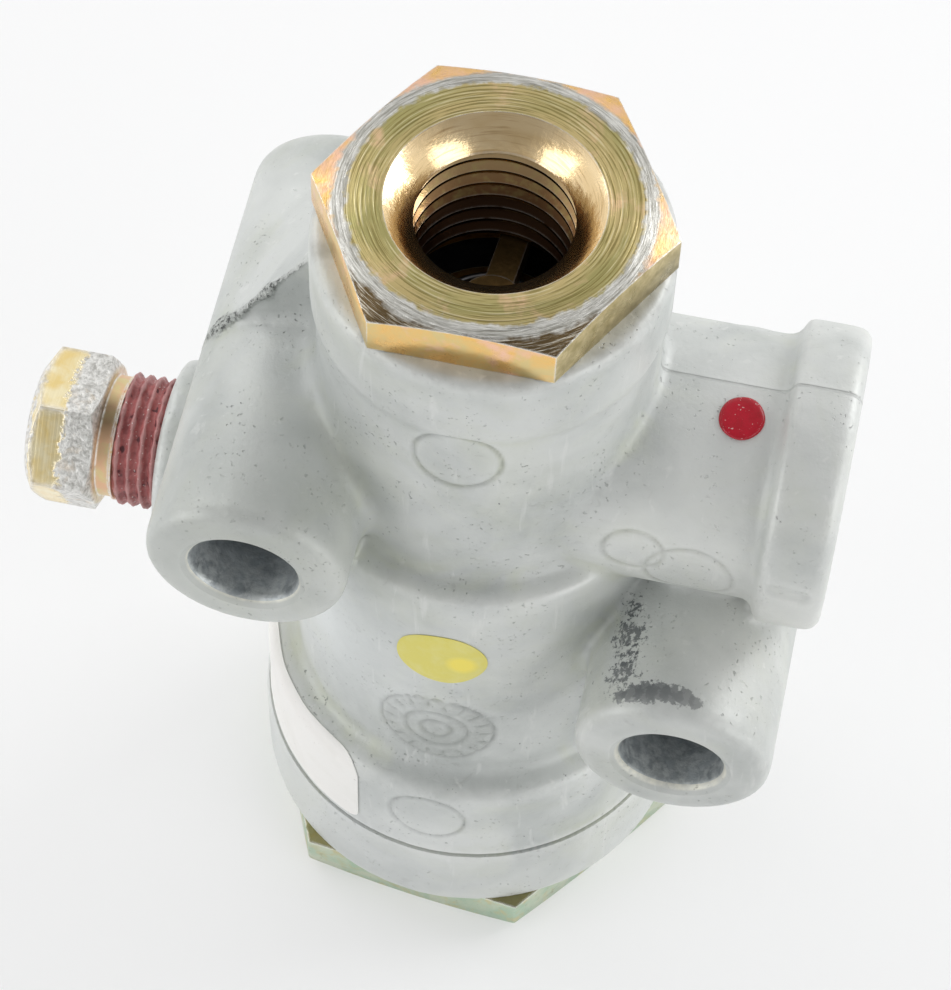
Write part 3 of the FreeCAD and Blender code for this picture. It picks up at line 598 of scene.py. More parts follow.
def gold_finish(colours):
    """Yellow zinc on turned steel: fine turned lines, a scored silver ring, tinted flats, and a bore
    painted darker with depth as shade.
    """
    f = Finish("yellow_zinc")
    away, turn, height = f.around()
    across = f.sum("MULTIPLY", away, f.sum("SINE", turn))

    def turned(swing):
        swung = {0: away}
        for slot, kind in ((1, "SINE"), (2, "COSINE")):
            swung[slot] = f.sum("MULTIPLY", f.sum(kind, turn), swing)
        return f.add("ShaderNodeCombineXYZ", {}, swung).outputs[0]

    blotch = f.noise(3.0, 4, 0.6, 0.5)
    small = f.noise(0.9, 4, 0.6)
    patch = f.noise(2.4, 3, 0.6, 0.3, turned(2.2))
    sway = f.noise(1.5, 2, 0.5, 0.0, turned(2.0))
    feed = f.sum("SINE", f.sum("ADD", f.sum("MULTIPLY", away, 21.0), f.sum("MULTIPLY", sway, 9.0)))
    cuts = f.noise(0.12, 2, 0.6, 0.0, turned(0.25))
    ridges = f.sum("ADD", f.sum("MULTIPLY", feed, 0.09), cuts)
    scored = f.noise(0.11, 3, 0.7, 0.2, turned(0.5))

    face = f.mix(f.between(patch, 0.38, 0.6), colours.gold_dark, (0.54, 0.43, 0.20))
    face = f.mix(f.between(blotch, 0.55, 0.7, 0.0, 0.5), face, colours.gold_rose)
    face = f.mix(f.between(ridges, 0.47, 0.36, 0.0, 0.8), face, (0.22, 0.18, 0.06))
    face = f.mix(f.between(ridges, 0.6, 0.7, 0.0, 0.55), face, (0.77, 0.69, 0.44))
    silver = f.mix(f.between(scored, 0.38, 0.62), (0.33, 0.32, 0.28), (0.72, 0.71, 0.67))
    far = f.mix(f.between(blotch, 0.4, 0.6), colours.gold_orange, colours.gold_rose)
    near = f.mix(f.between(scored, 0.52, 0.66), (0.13, 0.09, 0.045), (0.66, 0.62, 0.52))
    corner = f.mix(f.between(across, -7.0, -1.0), near, far)
    ragged = f.sum("ADD", away, f.between(small, 0.3, 0.7, -0.25, 0.25))
    top = f.mix(f.between(ragged, 10.0, 10.3), face, silver)
    top = f.mix(f.between(ragged, 11.0, 11.4), top, corner)

    flats = f.mix(f.between(blotch, 0.38, 0.6), colours.gold_orange, colours.gold_bright)
    flats = f.mix(f.between(f.noise(2.0, 3, 0.5), 0.52, 0.68), flats, colours.gold_rose)
    olive = f.mix(f.between(small, 0.35, 0.7), (0.46, 0.37, 0.17), (0.72, 0.60, 0.34))
    flats = f.mix(f.between(f.facing(0), 0.4, 0.7), flats, olive)
    upright = f.sum("ABSOLUTE", f.facing(2))
    colour = f.mix(f.between(upright, 0.5, 0.35), top, flats)

    cone = f.mix(f.between(patch, 0.35, 0.6), (0.78, 0.56, 0.28), (0.95, 0.74, 0.44))
    cone = f.mix(f.between(cuts, 0.45, 0.3, 0.0, 0.5), cone, (0.45, 0.27, 0.10))
    sunk = f.sum("MULTIPLY", f.between(away, 7.68, 7.6), f.between(height, 70.0, 70.2))
    colour = f.mix(sunk, colour, cone)
    # Painted shade: inside the bore the zinc darkens with depth to near black, with olive blotches.
    dark = f.mix(f.between(height, 76.4, 72.2), (0.72, 0.51, 0.26), (0.22, 0.11, 0.045))
    dark = f.mix(f.between(small, 0.5, 0.7, 0.0, 0.4), dark, (0.50, 0.44, 0.16))
    dark = f.mix(f.between(height, 72.6, 70.2), dark, (0.03, 0.015, 0.008))
    in_bore = f.sum("MULTIPLY", f.between(height, 76.35, 76.15), f.between(away, 7.3, 7.1))
    colour = f.mix(in_bore, colour, dark)
    bright_edge = f.sum("MULTIPLY", f.edge(0.22), f.between(small, 0.32, 0.5))
    bright_edge = f.sum("MULTIPLY", bright_edge, f.between(in_bore, 0.0, 1.0, 1.0, 0.2))
    colour = f.mix(bright_edge, colour, (0.88, 0.87, 0.82))

    flat_top = f.between(f.facing(2), 0.93, 0.96)
    rough = f.between(blotch, 0.3, 0.7, 0.24, 0.36)
    rough = f.blend(flat_top, rough, f.between(ridges, 0.3, 0.7, 0.42, 0.3))
    rough = f.blend(sunk, rough, 0.17)
    normal = f.relief(f.sum("MULTIPLY", ridges, flat_top), 0.05)
    ring = f.sum("MULTIPLY", f.between(away, 10.1, 10.4), f.between(f.facing(2), 0.8, 0.85))
    normal = f.relief(f.sum("MULTIPLY", scored, ring), 0.09, normal)
    normal = f.relief(f.noise(0.7, 4, 0.6), 0.025, normal)
    return f.set(Base_Color=colour, Roughness=rough, Metallic=1.0, Normal=normal)


def base_finish(colours):
    """Pale green and yellow zinc of the bottom hexagon, olive on its shoulders and bare on its edges."""
    f = Finish("green_zinc")
    blotch = f.noise(3.2, 4, 0.6, 0.6)
    other = f.noise(1.6, 4, 0.6, 0.4)
    colour = f.mix(f.between(blotch, 0.38, 0.6), colours.green_pale, colours.green_dark)
    colour = f.mix(f.between(other, 0.5, 0.64, 0.0, 0.85), colour, (0.62, 0.58, 0.34))
    colour = f.mix(f.between(f.noise(0.6, 3, 0.6), 0.62, 0.72, 0.0, 0.55), colour, (0.36, 0.36, 0.20))
    shoulder = f.between(f.facing(2), 0.4, 0.6, 0.0, 0.85)
    colour = f.mix(shoulder, colour, (0.25, 0.22, 0.07))
    bright_edge = f.sum("MULTIPLY", f.edge(0.35), f.between(f.noise(0.8, 4, 0.6), 0.3, 0.48))
    colour = f.mix(bright_edge, colour, (0.94, 0.95, 0.89))
    normal = f.relief(f.noise(0.5, 4, 0.65), 0.05)
    normal = f.relief(f.noise(2.0, 2, 0.5), 0.06, normal)
    rough = f.between(other, 0.3, 0.7, 0.28, 0.45)
    return f.set(Base_Color=colour, Roughness=rough, Metallic=1.0, Normal=normal)


def plug_finish():
    """Pitted silver zinc of the plug, with gold patches on its flats and a copper band behind its head,
    with a painted shadow of the head's corner on the band.
    """
    f = Finish("plug_zinc")
    blotch = f.noise(1.8, 4, 0.6, 0.5)
    pitted = f.noise(0.45, 4, 0.7, 0.3)
    along = f.sum("DIVIDE", f.add("ShaderNodeSeparateXYZ", {}, {0: f.place}).outputs[0], MM)
    silver = f.mix(f.between(pitted, 0.36, 0.6), (0.50, 0.49, 0.46), (0.93, 0.92, 0.89))
    silver = f.mix(f.between(blotch, 0.55, 0.7, 0.0, 0.5), silver, (0.80, 0.66, 0.50))
    gold = f.mix(f.between(blotch, 0.4, 0.62), (0.90, 0.70, 0.30), (0.97, 0.86, 0.56))
    ragged = f.sum("ADD", along, f.between(f.noise(0.8, 4, 0.65), 0.3, 0.7, -0.5, 0.5))
    patch = f.sum("MULTIPLY", f.between(ragged, -34.9, -34.6), f.between(ragged, -32.1, -32.4))
    patch = f.sum("MULTIPLY", patch, f.sum("SUBTRACT", 1.0, f.edge(1.1)))
    colour = f.mix(patch, silver, gold)
    band = f.sum("MULTIPLY", f.between(along, -29.75, -29.45), f.between(along, -27.9, -28.1))
    copper = f.mix(f.between(blotch, 0.4, 0.6), (0.86, 0.55, 0.34), (0.80, 0.66, 0.34))
    # Painted shadow of the head's corner on the copper band.
    shade = f.sum("MULTIPLY", f.near_point((-29.3, -1.1, 43.6), 1.5, 0.5), 0.8)
    copper = f.mix(shade, copper, (0.22, 0.15, 0.08))
    colour = f.mix(band, colour, copper)
    bright_edge = f.sum("MULTIPLY", f.edge(0.3), f.between(pitted, 0.35, 0.5))
    colour = f.mix(bright_edge, colour, (0.94, 0.93, 0.90))
    drawn = f.add("ShaderNodeCombineXYZ", {}, {0: along}).outputs[0]
    normal = f.relief(f.sum("MULTIPLY", f.noise(0.35, 2, 0.6, 0.0, drawn), patch), 0.05)
    rest = f.sum("MULTIPLY", f.sum("SUBTRACT", 1.0, patch), f.sum("SUBTRACT", 1.0, band))
    normal = f.relief(f.sum("MULTIPLY", pitted, rest), 0.16, normal)
    rough = f.blend(patch, f.between(pitted, 0.3, 0.7, 0.45, 0.3), 0.2)
    return f.set(Base_Color=colour, Roughness=rough, Metallic=0.7, Normal=normal)


def metal_finish(name, first, second, rough):
    """Plain machined or drawn metal with light staining."""
    f = Finish(name)
    blotch = f.noise(1.5, 4, 0.6, 0.3)
    colour = f.mix(f.between(blotch, 0.35, 0.65), first, second)
    colour = f.mix(f.sum("MULTIPLY", f.edge(0.2), 0.5), colour, (0.85, 0.84, 0.80))
    normal = f.relief(f.noise(0.5, 3, 0.6), 0.03)
    rough = f.between(blotch, 0.3, 0.7, rough, rough + 0.15)
    return f.set(Base_Color=colour, Roughness=rough, Metallic=1.0, Normal=normal)


def rubber_finish():
    """Black seal rubber with slight mottle and grain."""
    f = Finish("seal_rubber")
    blotch = f.noise(2.4, 4, 0.6, 0.3)
    grain = f.noise(0.4, 3, 0.6)
    colour = f.mix(f.between(blotch, 0.35, 0.65), (0.022, 0.022, 0.023), (0.05, 0.05, 0.05))
    rough = f.between(grain, 0.3, 0.7, 0.55, 0.67)
    return f.set(Base_Color=colour, Roughness=rough, Normal=f.relief(grain, 0.03))


def sealant_finish(colours):
    """Brick red dried sealant with dark pits, pale crests and white specks."""
    f = Finish("sealant")
    blotch = f.noise(1.2, 4, 0.6, 0.4)
    colour = f.mix(f.between(blotch, 0.35, 0.65), colours.sealant, (0.26, 0.065, 0.065))
    crest = f.between(f.kept("crest"), 0.05, 0.5)
    colour = f.mix(f.sum("MULTIPLY", crest, 0.55), colour, (0.58, 0.33, 0.32))
    pits = f.sum("MULTIPLY", f.between(f.noise(0.7, 1, 0.5), 0.36, 0.3), f.between(crest, 0.5, 0.0))
    colour = f.mix(pits, colour, (0.11, 0.03, 0.035))
    speck = f.between(f.noise(0.22, 1, 0.5), 0.70, 0.76)
    colour = f.mix(speck, colour, (0.84, 0.78, 0.74))
    normal = f.relief(f.noise(0.35, 4, 0.65), 0.08)
    return f.set(
        Base_Color=colour, Roughness=f.between(blotch, 0.3, 0.7, 0.36, 0.55), Normal=normal
    )


def label_finish(colours):
    """Off-white film with faint blotches of grime and dark specks."""
    f = Finish("label_film")
    blotch = f.noise(5, 4, 0.6, 0.5)
    colour = f.mix(f.between(blotch, 0.5, 0.78, 0.0, 0.4), colours.label, (0.80, 0.79, 0.74))
    speck = f.between(f.noise(0.4, 2, 0.5), 0.70, 0.78, 0.0, 0.4)
    colour = f.mix(speck, colour, (0.45, 0.44, 0.41))
    normal = f.relief(f.noise(2.2, 3, 0.5), 0.04)
    normal = f.relief(f.noise(0.3, 2, 0.5), 0.01, normal)
    return f.set(
        Base_Color=colour, Roughness=f.between(blotch, 0.3, 0.7, 0.3, 0.42), Normal=normal
    )


def paint_finish(name, colour, other, rough, blob=None, specks=0.0):
    """Brushed-on marking paint, with a thick blob or with specks where it has them."""
    f = Finish(name)
    blotch = f.noise(1.4, 4, 0.6, 0.4)
    shade = f.mix(f.between(blotch, 0.42, 0.7, 0.0, 0.8), colour, other)
    if blob:
        shade = f.mix(f.near_point(blob, 1.05, 0.3), shade, (0.93, 0.78, 0.11))
    speck = f.between(f.noise(0.18, 1, 0.5), 0.68, 0.76, 0.0, specks)
    shade = f.mix(speck, shade, (0.85, 0.72, 0.70))
    normal = f.relief(f.noise(0.6, 3, 0.6), 0.03)
    return f.set(
        Base_Color=shade, Roughness=f.between(blotch, 0.3, 0.7, rough, rough + 0.1), Normal=normal
    )


def wear(piece, *materials):
    """Gives a piece its finishes."""
    piece.data.materials.clear()
    for material in materials:
        piece.data.materials.append(material)


# Dark scuffs on the casting: place in millimetres, size and how solid they are
SCUFFS = [
    ((13.3, -8.8, 42.7), 1.30, 0.24),
    ((13.4, -11.0, 42.8), 1.90, 0.27),
    ((13.5, -12.8, 42.9), 1.30, 0.24),
    ((13.4, -14.5, 42.8), 1.70, 0.27),
    ((13.7, -16.4, 43.0), 0.60, 0.40),
    ((14.6, -16.3, 43.6), 0.80, 0.50),
    ((15.5, -16.2, 44.0), 0.85, 0.50),
    ((16.4, -16.1, 44.3), 0.85, 0.50),
    ((17.4, -16.2, 44.5), 0.80, 0.50),
    ((18.3, -16.3, 44.5), 0.75, 0.50),
    ((19.2, -16.5, 44.4), 0.50, 0.50),
    ((24.0, -9.0, 44.5), 2.6, 0.12),
    ((22.0, -7.5, 48.5), 2.4, 0.10),
]


# Broad darker and paler areas of the casting, each with its colour; the paler areas are painted light.
TONES_AND_PAINTED_LIGHT = [
    ((-14.3, -8.0, 59.0), 9.0, 0.30, (0.36, 0.38, 0.37)),
    ((-14.0, -16.0, 58.0), 5.0, 0.25, (0.36, 0.38, 0.37)),
    ((-8.5, -3.0, 62.0), 4.5, 0.30, (0.36, 0.38, 0.37)),
    ((-14.3, -18.0, 51.9), 6.5, 0.40, (0.40, 0.42, 0.36)),
    ((18.1, -18.0, 37.0), 6.5, 0.35, (0.40, 0.41, 0.39)),
    ((-10.5, -10.0, 36.0), 7.5, 0.75, (0.80, 0.83, 0.83)),
    ((17.0, -9.0, 54.0), 6.0, 0.50, (0.76, 0.77, 0.74)),
    ((24.5, -10.5, 46.5), 5.0, 0.60, (0.80, 0.80, 0.76)),
    ((18.5, -1.0, 62.0), 5.0, 0.50, (0.78, 0.79, 0.78)),
    ((-6.0, -17.0, 10.0), 9.0, 0.45, (0.80, 0.82, 0.82)),
    ((-17.0, -4.0, 10.0), 7.0, 0.45, (0.80, 0.82, 0.82)),
]


class ValveBodySizes(bpy.types.PropertyGroup):
    barrel_radius: bpy.props.FloatProperty(
        name="Barrel radius", description="Radius of the main barrel", default=14.5 * MM, unit="LENGTH"
    )
    flange_radius: bpy.props.FloatProperty(
        name="Flange radius", description="Radius of the lower flange", default=16.9 * MM, unit="LENGTH"
    )
    ring_radius: bpy.props.FloatProperty(
        name="Ring radius", description="Radius of the lowest ring", default=17.4 * MM, unit="LENGTH"
    )
    upper_radius: bpy.props.FloatProperty(
        name="Upper radius", description="Radius above the shoulder", default=12.4 * MM, unit="LENGTH"
    )
    collar_radius: bpy.props.FloatProperty(
        name="Collar radius", description="Radius under the top cap", default=12.75 * MM, unit="LENGTH"
    )
    neck_radius: bpy.props.FloatProperty(
        name="Neck radius", description="Radius of the delivery port's neck", default=9.85 * MM,
        unit="LENGTH",
    )
    rim_radius: bpy.props.FloatProperty(
        name="Rim radius", description="Radius of the delivery port's rim", default=11.3 * MM,
        unit="LENGTH",
    )
    boss_radius: bpy.props.FloatProperty(
        name="Boss radius", description="Radius of the mounting bosses", default=7.46 * MM,
        unit="LENGTH",
    )
    hole_radius: bpy.props.FloatProperty(
        name="Hole radius", description="Radius of the mounting holes", default=3.95 * MM,
        unit="LENGTH",
    )
    grain: bpy.props.FloatProperty(
        name="Mesh grain", description="Size of the casting's mesh cells", default=0.42 * MM,
        unit="LENGTH",
    )


class ValveFittingSizes(bpy.types.PropertyGroup):
    cap_flats: bpy.props.FloatProperty(
        name="Top cap flats", description="Width across the top hexagon", default=22.225 * MM,
        unit="LENGTH",
    )
    base_flats: bpy.props.FloatProperty(
        name="Bottom cap flats", description="Width across the bottom hexagon", default=31.75 * MM,
        unit="LENGTH",
    )
    plug_flats: bpy.props.FloatProperty(
        name="Plug flats", description="Width across the plug's hexagon", default=11.11 * MM,
        unit="LENGTH",
    )
    port_pitch: bpy.props.FloatProperty(
        name="Port thread pitch", description="Pitch of both ports' threads", default=1.411 * MM,
        unit="LENGTH",
    )
    plug_pitch: bpy.props.FloatProperty(
        name="Plug thread pitch", description="Pitch of the plug's thread", default=0.941 * MM,
        unit="LENGTH",
    )


class ValveMarkSizes(bpy.types.PropertyGroup):
    yellow_radius: bpy.props.FloatProperty(
        name="Yellow mark radius", description="Radius of the paint mark on the barrel",
        default=3.45 * MM, unit="LENGTH",
    )
    red_radius: bpy.props.FloatProperty(
        name="Red mark radius", description="Radius of the paint mark on the port's neck",
        default=1.62 * MM, unit="LENGTH",
    )
    label_start: bpy.props.FloatProperty(
        name="Label start", description="Turn at the label's far end", default=math.radians(118),
        unit="ROTATION",
    )
    label_end: bpy.props.FloatProperty(
        name="Label end", description="Turn at the label's near end", default=math.radians(248),
        unit="ROTATION",
    )


def colour_property(name, description, default):
    return bpy.props.FloatVectorProperty(
        name=name, description=description, default=default, subtype="COLOR", size=3, min=0, max=1
    )


class ValveColours(bpy.types.PropertyGroup):
    cast_pale: colour_property("Casting, pale", "Light areas of the casting", (0.67, 0.69, 0.67))
    cast_dark: colour_property("Casting, dark", "Dark areas of the casting", (0.49, 0.515, 0.50))
    cast_tint: colour_property("Casting, tint", "Yellow-green passivation", (0.62, 0.65, 0.46))
    cast_stain: colour_property("Casting, stain", "Dark scuffs", (0.07, 0.08, 0.09))
    gold_bright: colour_property("Zinc, bright", "Bright yellow zinc", (0.76, 0.60, 0.28))
    gold_dark: colour_property("Zinc, olive", "Olive zinc", (0.38, 0.34, 0.14))
    gold_rose: colour_property("Zinc, rose", "Rose patches in the zinc", (0.92, 0.58, 0.40))
    gold_orange: colour_property("Zinc, orange", "Orange zinc on the flats", (0.90, 0.56, 0.19))
    green_pale: colour_property("Base zinc, pale", "Pale green zinc", (0.62, 0.67, 0.53))
    green_dark: colour_property("Base zinc, dark", "Green zinc", (0.46, 0.60, 0.46))
    sealant: colour_property("Sealant", "Dried thread sealant", (0.52, 0.165, 0.16))
    label: colour_property("Label", "Label film", (0.96, 0.945, 0.915))
    yellow_paint: colour_property("Yellow paint", "Mark on the barrel", (0.76, 0.68, 0.14))
    red_paint: colour_property("Red paint", "Mark on the neck", (0.50, 0.004, 0.022))


def cast_turnings(sizes):
    """The casting's turned forms, each rounded as the mould has them."""
    flange, barrel = sizes.flange_radius / MM, sizes.barrel_radius / MM
    upper, collar, ring = sizes.upper_radius / MM, sizes.collar_radius / MM, sizes.ring_radius / MM
    outline = [(ring - 0.25, 4.08), (ring, 4.35), (ring, 12.0), (flange, 12.5)]
    outline += arc(flange - 1.2, 20.78, 1.2, 0, 90)
    outline += arc(barrel + 1.2, 23.18, 1.2, 270, 180)
    outline += arc(barrel - 0.85, 47.75, 0.85, 0, 90)
    outline += arc(upper + 0.9, 49.5, 0.9, 270, 180)
    outline += [(upper, 67.45), (collar, 67.95)]
    outline += arc(collar - 0.6, 73.77, 0.6, 0, 90)
    forms = [lathe("barrel", outline)]
    boss = sizes.boss_radius / MM
    for name, (place, front) in BOSSES.items():
        outline = arc(boss - 1.3, BOSS_BACK + 1.3, 1.3, 270, 360)
        outline += arc(boss - 1.3, front - 1.3, 1.3, 0, 90)
        forms.append(lay(lathe(name, outline, 96), "-Y", place))
    neck, rim = sizes.neck_radius / MM, sizes.rim_radius / MM
    forms.append(lay(lathe("neck", [(neck, 0), (neck, 26)], 96), "+X", DELIVERY_PORT))
    outline = arc(rim - 0.7, 22.57, 0.7, 270, 360, 4) + arc(rim - 1.1, 25.87, 1.1, 0, 90)
    forms.append(lay(lathe("rim", outline, 96), "+X", DELIVERY_PORT))
    outline = [(7.0, 0)] + arc(6.4, 24.1, 0.6, 0, 90, 4)
    forms.append(lay(lathe("plug_boss", outline, 96), "-X", PLUG_PORT))
    return forms


def cast_web():
    """The web behind the left boss: a five-sided block whose rear end is lower."""
    let_go()
    length = 15.8
    bpy.ops.mesh.primitive_cylinder_add(
        vertices=5, radius=6 * MM, depth=length * MM, end_fill_type="NGON"
    )
    web = settle(added("web"))
    x, _, z = LEFT_BOSS
    profile = [(-7, z), (x, z), (-20.6, 56.0), (-13.2, 67.55), (-7, 67.55)]
    rear_drop = 9.0
    count = len(web.data.vertices)
    for number in range(count):
        across, up = profile[number // 2]
        at_rear = number % 2
        if at_rear and up > 60:
            up -= rear_drop
        step = Vector((across, length * at_rear, up)) * MM - web.data.vertices[number].co
        pick(web, np.arange(count) == number)
        bpy.ops.transform.translate(value=step)
        bpy.ops.object.mode_set(mode="OBJECT")
    pick(web, np.ones(count))
    bpy.ops.mesh.subdivide(number_cuts=7)
    return clean(web)


# Marks of the casting, in millimetres: the web's flash and foot, the mould's joint and pins,
# the dial, the rim's slot and a scratch
FLASH_LINE = [
    (-21.87, 0, 53.74), (-21.15, 0, 56.07), (-20.04, 0, 57.33), (-18.47, 0, 58.86),
    (-17.19, 0, 61.54), (-15.87, 0, 63.46), (-13.51, 0, 67.25),
]
FLASH_LUMPS = [((-20.5, 0, 56.8), 1.6, 0.7), ((-16.7, 0, 62.2), 1.1, 0.6)]
WEB_FOOT = [
    (LEFT_BOSS[0] + 7.6 * math.cos(turn), -0.4, LEFT_BOSS[2] + 7.6 * math.sin(turn))
    for turn in np.radians((122, 108, 94, 80, 66, 52))
]
PARTING_LINE = [(9.5, 0, 61.7), (21.6, 0, 61.7), (22.3, 0, 63.14), (26.5, 0, 63.14)]
PIN_MARKS = [
    ((0.17, -12.4, 64.33), 3.2),
    ((12.81, -10.06, 52.57), 2.25),
    ((17.0, -8.6, 50.6), 3.4),
    ((-0.55, -16.9, 17.6), 3.1),
]
DIAL_MARK = (-0.4, -14.5, 28.6)
RIM_SLOT = [(23.1, -11.2, 53.2), (25.3, -11.2, 52.9)]
SCRATCH = [(4.3, -12.0, 52.6), (5.6, -12.2, 51.2), (6.4, -11.9, 53.2)]


def flash_band(places):
    """1 in the band of rough flash, which is wide at its lumps and thin between them."""
    width = np.full(len(places), 0.26)
    for point, reach, extra in FLASH_LUMPS:
        width += extra * bump_of(from_point(places, point), reach)
    return step_of(from_line(places, FLASH_LINE), width, 0.07)


def mark_lines(places):
    """1 along the thin grooves of the pin marks, the dial and the scratch."""
    lines = bump_of(from_line(places, SCRATCH), 0.16)
    for point, radius in PIN_MARKS:
        lines = np.maximum(lines, bump_of(from_point(places, point) - radius, 0.17))
    away = from_point(places, DIAL_MARK)
    turn = np.arctan2(places[:, 2] - DIAL_MARK[2], places[:, 0] - DIAL_MARK[0])
    slots = step_of(np.abs(np.sin(turn * 9)), 0.2, 0.05) * step_of(np.abs(away - 3.95), 0.55, 0.06)
    for radius in (1.2, 2.5, 4.55):
        lines = np.maximum(lines, bump_of(away - radius, 0.17))
    return np.maximum(lines, slots)


def cast_relief(places):
    """Rise of the casting's small marks at each point, in millimetres."""
    rise = -0.14 * mark_lines(places)
    for point, radius in PIN_MARKS:
        rise -= 0.05 * step_of(from_point(places, point), radius, 0.08)
    away = from_point(places, DIAL_MARK)
    rise += 0.10 * step_of(away, 4.5, 0.06) - 0.05 * step_of(away, 2.5, 0.08)
    ragged = 0.65 + 0.35 * np.sin(places[:, 2] * 5.1) * np.sin(places[:, 0] * 7.3 + 1)
    rise += 0.3 * flash_band(places) * ragged
    rise += 0.07 * bump_of(from_line(places, PARTING_LINE), 0.28)
    rise += 0.14 * bump_of(from_line(places, WEB_FOOT), 0.3)
    rise -= 0.22 * step_of(from_line(places, RIM_SLOT), 0.5, 0.08)
    return rise


def fine_areas(places):
    """Where the casting's small marks need a finer mesh."""
    near = from_point(places, DIAL_MARK) < 4.8
    for point, radius in PIN_MARKS:
        near |= np.abs(from_point(places, point) - radius) < 0.6
    for line in (FLASH_LINE, RIM_SLOT):
        near |= from_line(places, line) < 0.9
    for line in (PARTING_LINE, WEB_FOOT, SCRATCH):
        near |= from_line(places, line) < 0.5
    return near


def refine(piece, chosen):
    """Subdivides the faces round the chosen points."""
    pick(piece, chosen)
    bpy.ops.mesh.select_mode(type="FACE")
    bpy.ops.mesh.subdivide(number_cuts=1)
    bpy.ops.mesh.select_mode(type="VERT")
    bpy.ops.object.mode_set(mode="OBJECT")


def wide_blend(places, upper, boss):
    """Where the left boss runs into the upper barrel with a large blend."""
    from_upper = np.abs(np.hypot(places[:, 0], places[:, 1]) - upper)
    from_boss = np.abs(np.hypot(places[:, 0] - LEFT_BOSS[0], places[:, 2] - LEFT_BOSS[2]) - boss)
    joint = step_of(np.hypot(from_upper, from_boss), 2.4, 0.4)
    in_front = step_of(places[:, 1], 0.5, 0.5) * step_of(-places[:, 2], -50.5, 0.5)
    return joint * in_front


def bore_outline():
    """The main bore from the bottom joint to the top cap's seat."""
    return [
        (15.4, 3), (15.4, 5.58), (13.9, 5.58), (13.9, 11.48), (11.9, 11.48), (11.9, 34.0), (10.7, 34.0),
        (10.7, 45.2), (8.0, 46.2), (8.0, 57.0), (4.3, 57.0), (4.3, 59.0),
    ]


def cut_holes(body, sizes, pitch):
    """Cuts the bores, threads and mounting holes, which stay crisp."""
    combine(body, lathe("main_bore", bore_outline()))
    upper = [(5.1, 59.4), (5.1, 58.8), (8.3, 58.8), (8.3, 64.2), (9.7, 64.2), (9.7, 72.97),
             (11.0, 72.97), (11.0, 76)]
    combine(body, lathe("valve_chamber", upper))
    combine(body, lathe("seat_bore", [(4.3, 58), (4.3, 60)], 96))
    hole = sizes.hole_radius / MM
    for place, front in BOSSES.values():
        outline = [(hole + 1.2, -20), (hole + 1.2, -18.5)] + arc(hole + 0.9, -17.0, 0.9, 270, 180, 5)[1:]
        outline += arc(hole + 0.9, front - 0.9, 0.9, 180, 90, 5)[:-1]
        outline += [(hole + 1.2, front + 0.4), (hole + 1.2, front + 2)]
        combine(body, lay(lathe("mounting_hole", outline, 96), "-Y", place))
    rod = thread("delivery_thread", 5.72, 6.72, pitch, 0, 14.5)
    combine(body, lay(rod, "+X", (13.47, 0, 51.84)))
    mouth = lathe("delivery_mouth", [(5.6, 0), (7.3, 1.2), (7.3, 3)], 96)
    combine(body, lay(mouth, "+X", (25.9, 0, 51.84)))
    combine(body, lay(lathe("delivery_drilling", [(4.2, 3.8), (4.2, 16)], 96), "+X", DELIVERY_PORT))
    combine(body, lay(lathe("plug_bore", [(4.6, 19.45), (4.6, 26.45)], 96), "-X", PLUG_PORT))
    combine(body, lay(lathe("plug_drilling", [(3.2, 5.3), (3.2, 20)], 96), "-X", PLUG_PORT))
    groove = [(16.72, 12.12), (16.72, 12.42), (19, 12.5), (19, 12.1)]
    combine(body, lathe("groove", groove, 160, ring=True))


def bored_faces(body, sizes):
    """Marks faces inside the holes."""
    count = len(body.data.polygons)
    middles = np.zeros(count * 3)
    body.data.polygons.foreach_get("center", middles)
    middles = middles.reshape(-1, 3) / MM
    x, y, z = middles.T
    out = np.hypot(x, y)
    inside = (out < 11.2) & (z < 74.2)
    inside |= (out < 13.95) & (z < 34)
    inside |= (out < 15.45) & (z < 5.7)
    inside |= (np.hypot(y, z - DELIVERY_PORT[2]) < 6.9) & (x > 5)
    inside |= (np.hypot(y, z - PLUG_PORT[2]) < 4.7) & (x < -5)
    hole = sizes.hole_radius / MM
    for (across, _, up), reach in ((LEFT_BOSS, 17.0), (RIGHT_BOSS, 17.5)):
        inside |= (np.hypot(x - across, z - up) < hole + 0.15) & (np.abs(y) < reach)
    body.data.polygons.foreach_set("material_index", inside.astype(int))


class ValveCastBody(bpy.types.Operator):
    """Models the casting: forms run together, blended joints, mould marks and machined holes"""

    bl_idname = "valve.cast_body"
    bl_label = "Cast body"

    def execute(self, context):
        sizes = context.scene.valve_body
        forms = cast_turnings(sizes) + [cast_web()]
        let_go()
        for form in forms:
            form.select_set(True)
        bpy.context.view_layer.objects.active = forms[0]
        bpy.ops.object.join()
        body = added("cast_body")
        work(body, "REMESH", mode="VOXEL", voxel_size=sizes.grain)
        work(body, "SMOOTH", factor=0.5, iterations=5)
        places = points_of(body)
        ends = edge_ends(body)
        joints = (spread(ends, bend_of(body), 2) > 0.07).astype(float)
        x, y, z = places.T
        web_front = step_of(x, -11.5, 0.3) * step_of(np.abs(y + 0.6), 1.6, 0.3) * step_of(-z, -55, 0.3)
        relax(body, np.clip(spread(ends, joints, 4) * 2.5, 0, 1) * (1 - 0.85 * web_front), 12)
        relax(body, wide_blend(places, sizes.upper_radius / MM, sizes.boss_radius / MM), 90)
        refine(body, fine_areas(points_of(body)))
        raise_points(body, cast_relief(points_of(body)))
        cut_holes(body, sizes, context.scene.valve_fittings.port_pitch / MM)
        clean(body)
        places = points_of(body)
        record_edges(body)
        record_value(body, "flash", flash_band(places))
        record_value(body, "marks", mark_lines(places))
        colours = context.scene.valve_colours
        wear(body, cast_finish(colours), bore_finish())
        bored_faces(body, sizes)
        smooth(body, 32)
        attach(body, "housing")
        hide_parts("body")
        return {"FINISHED"}


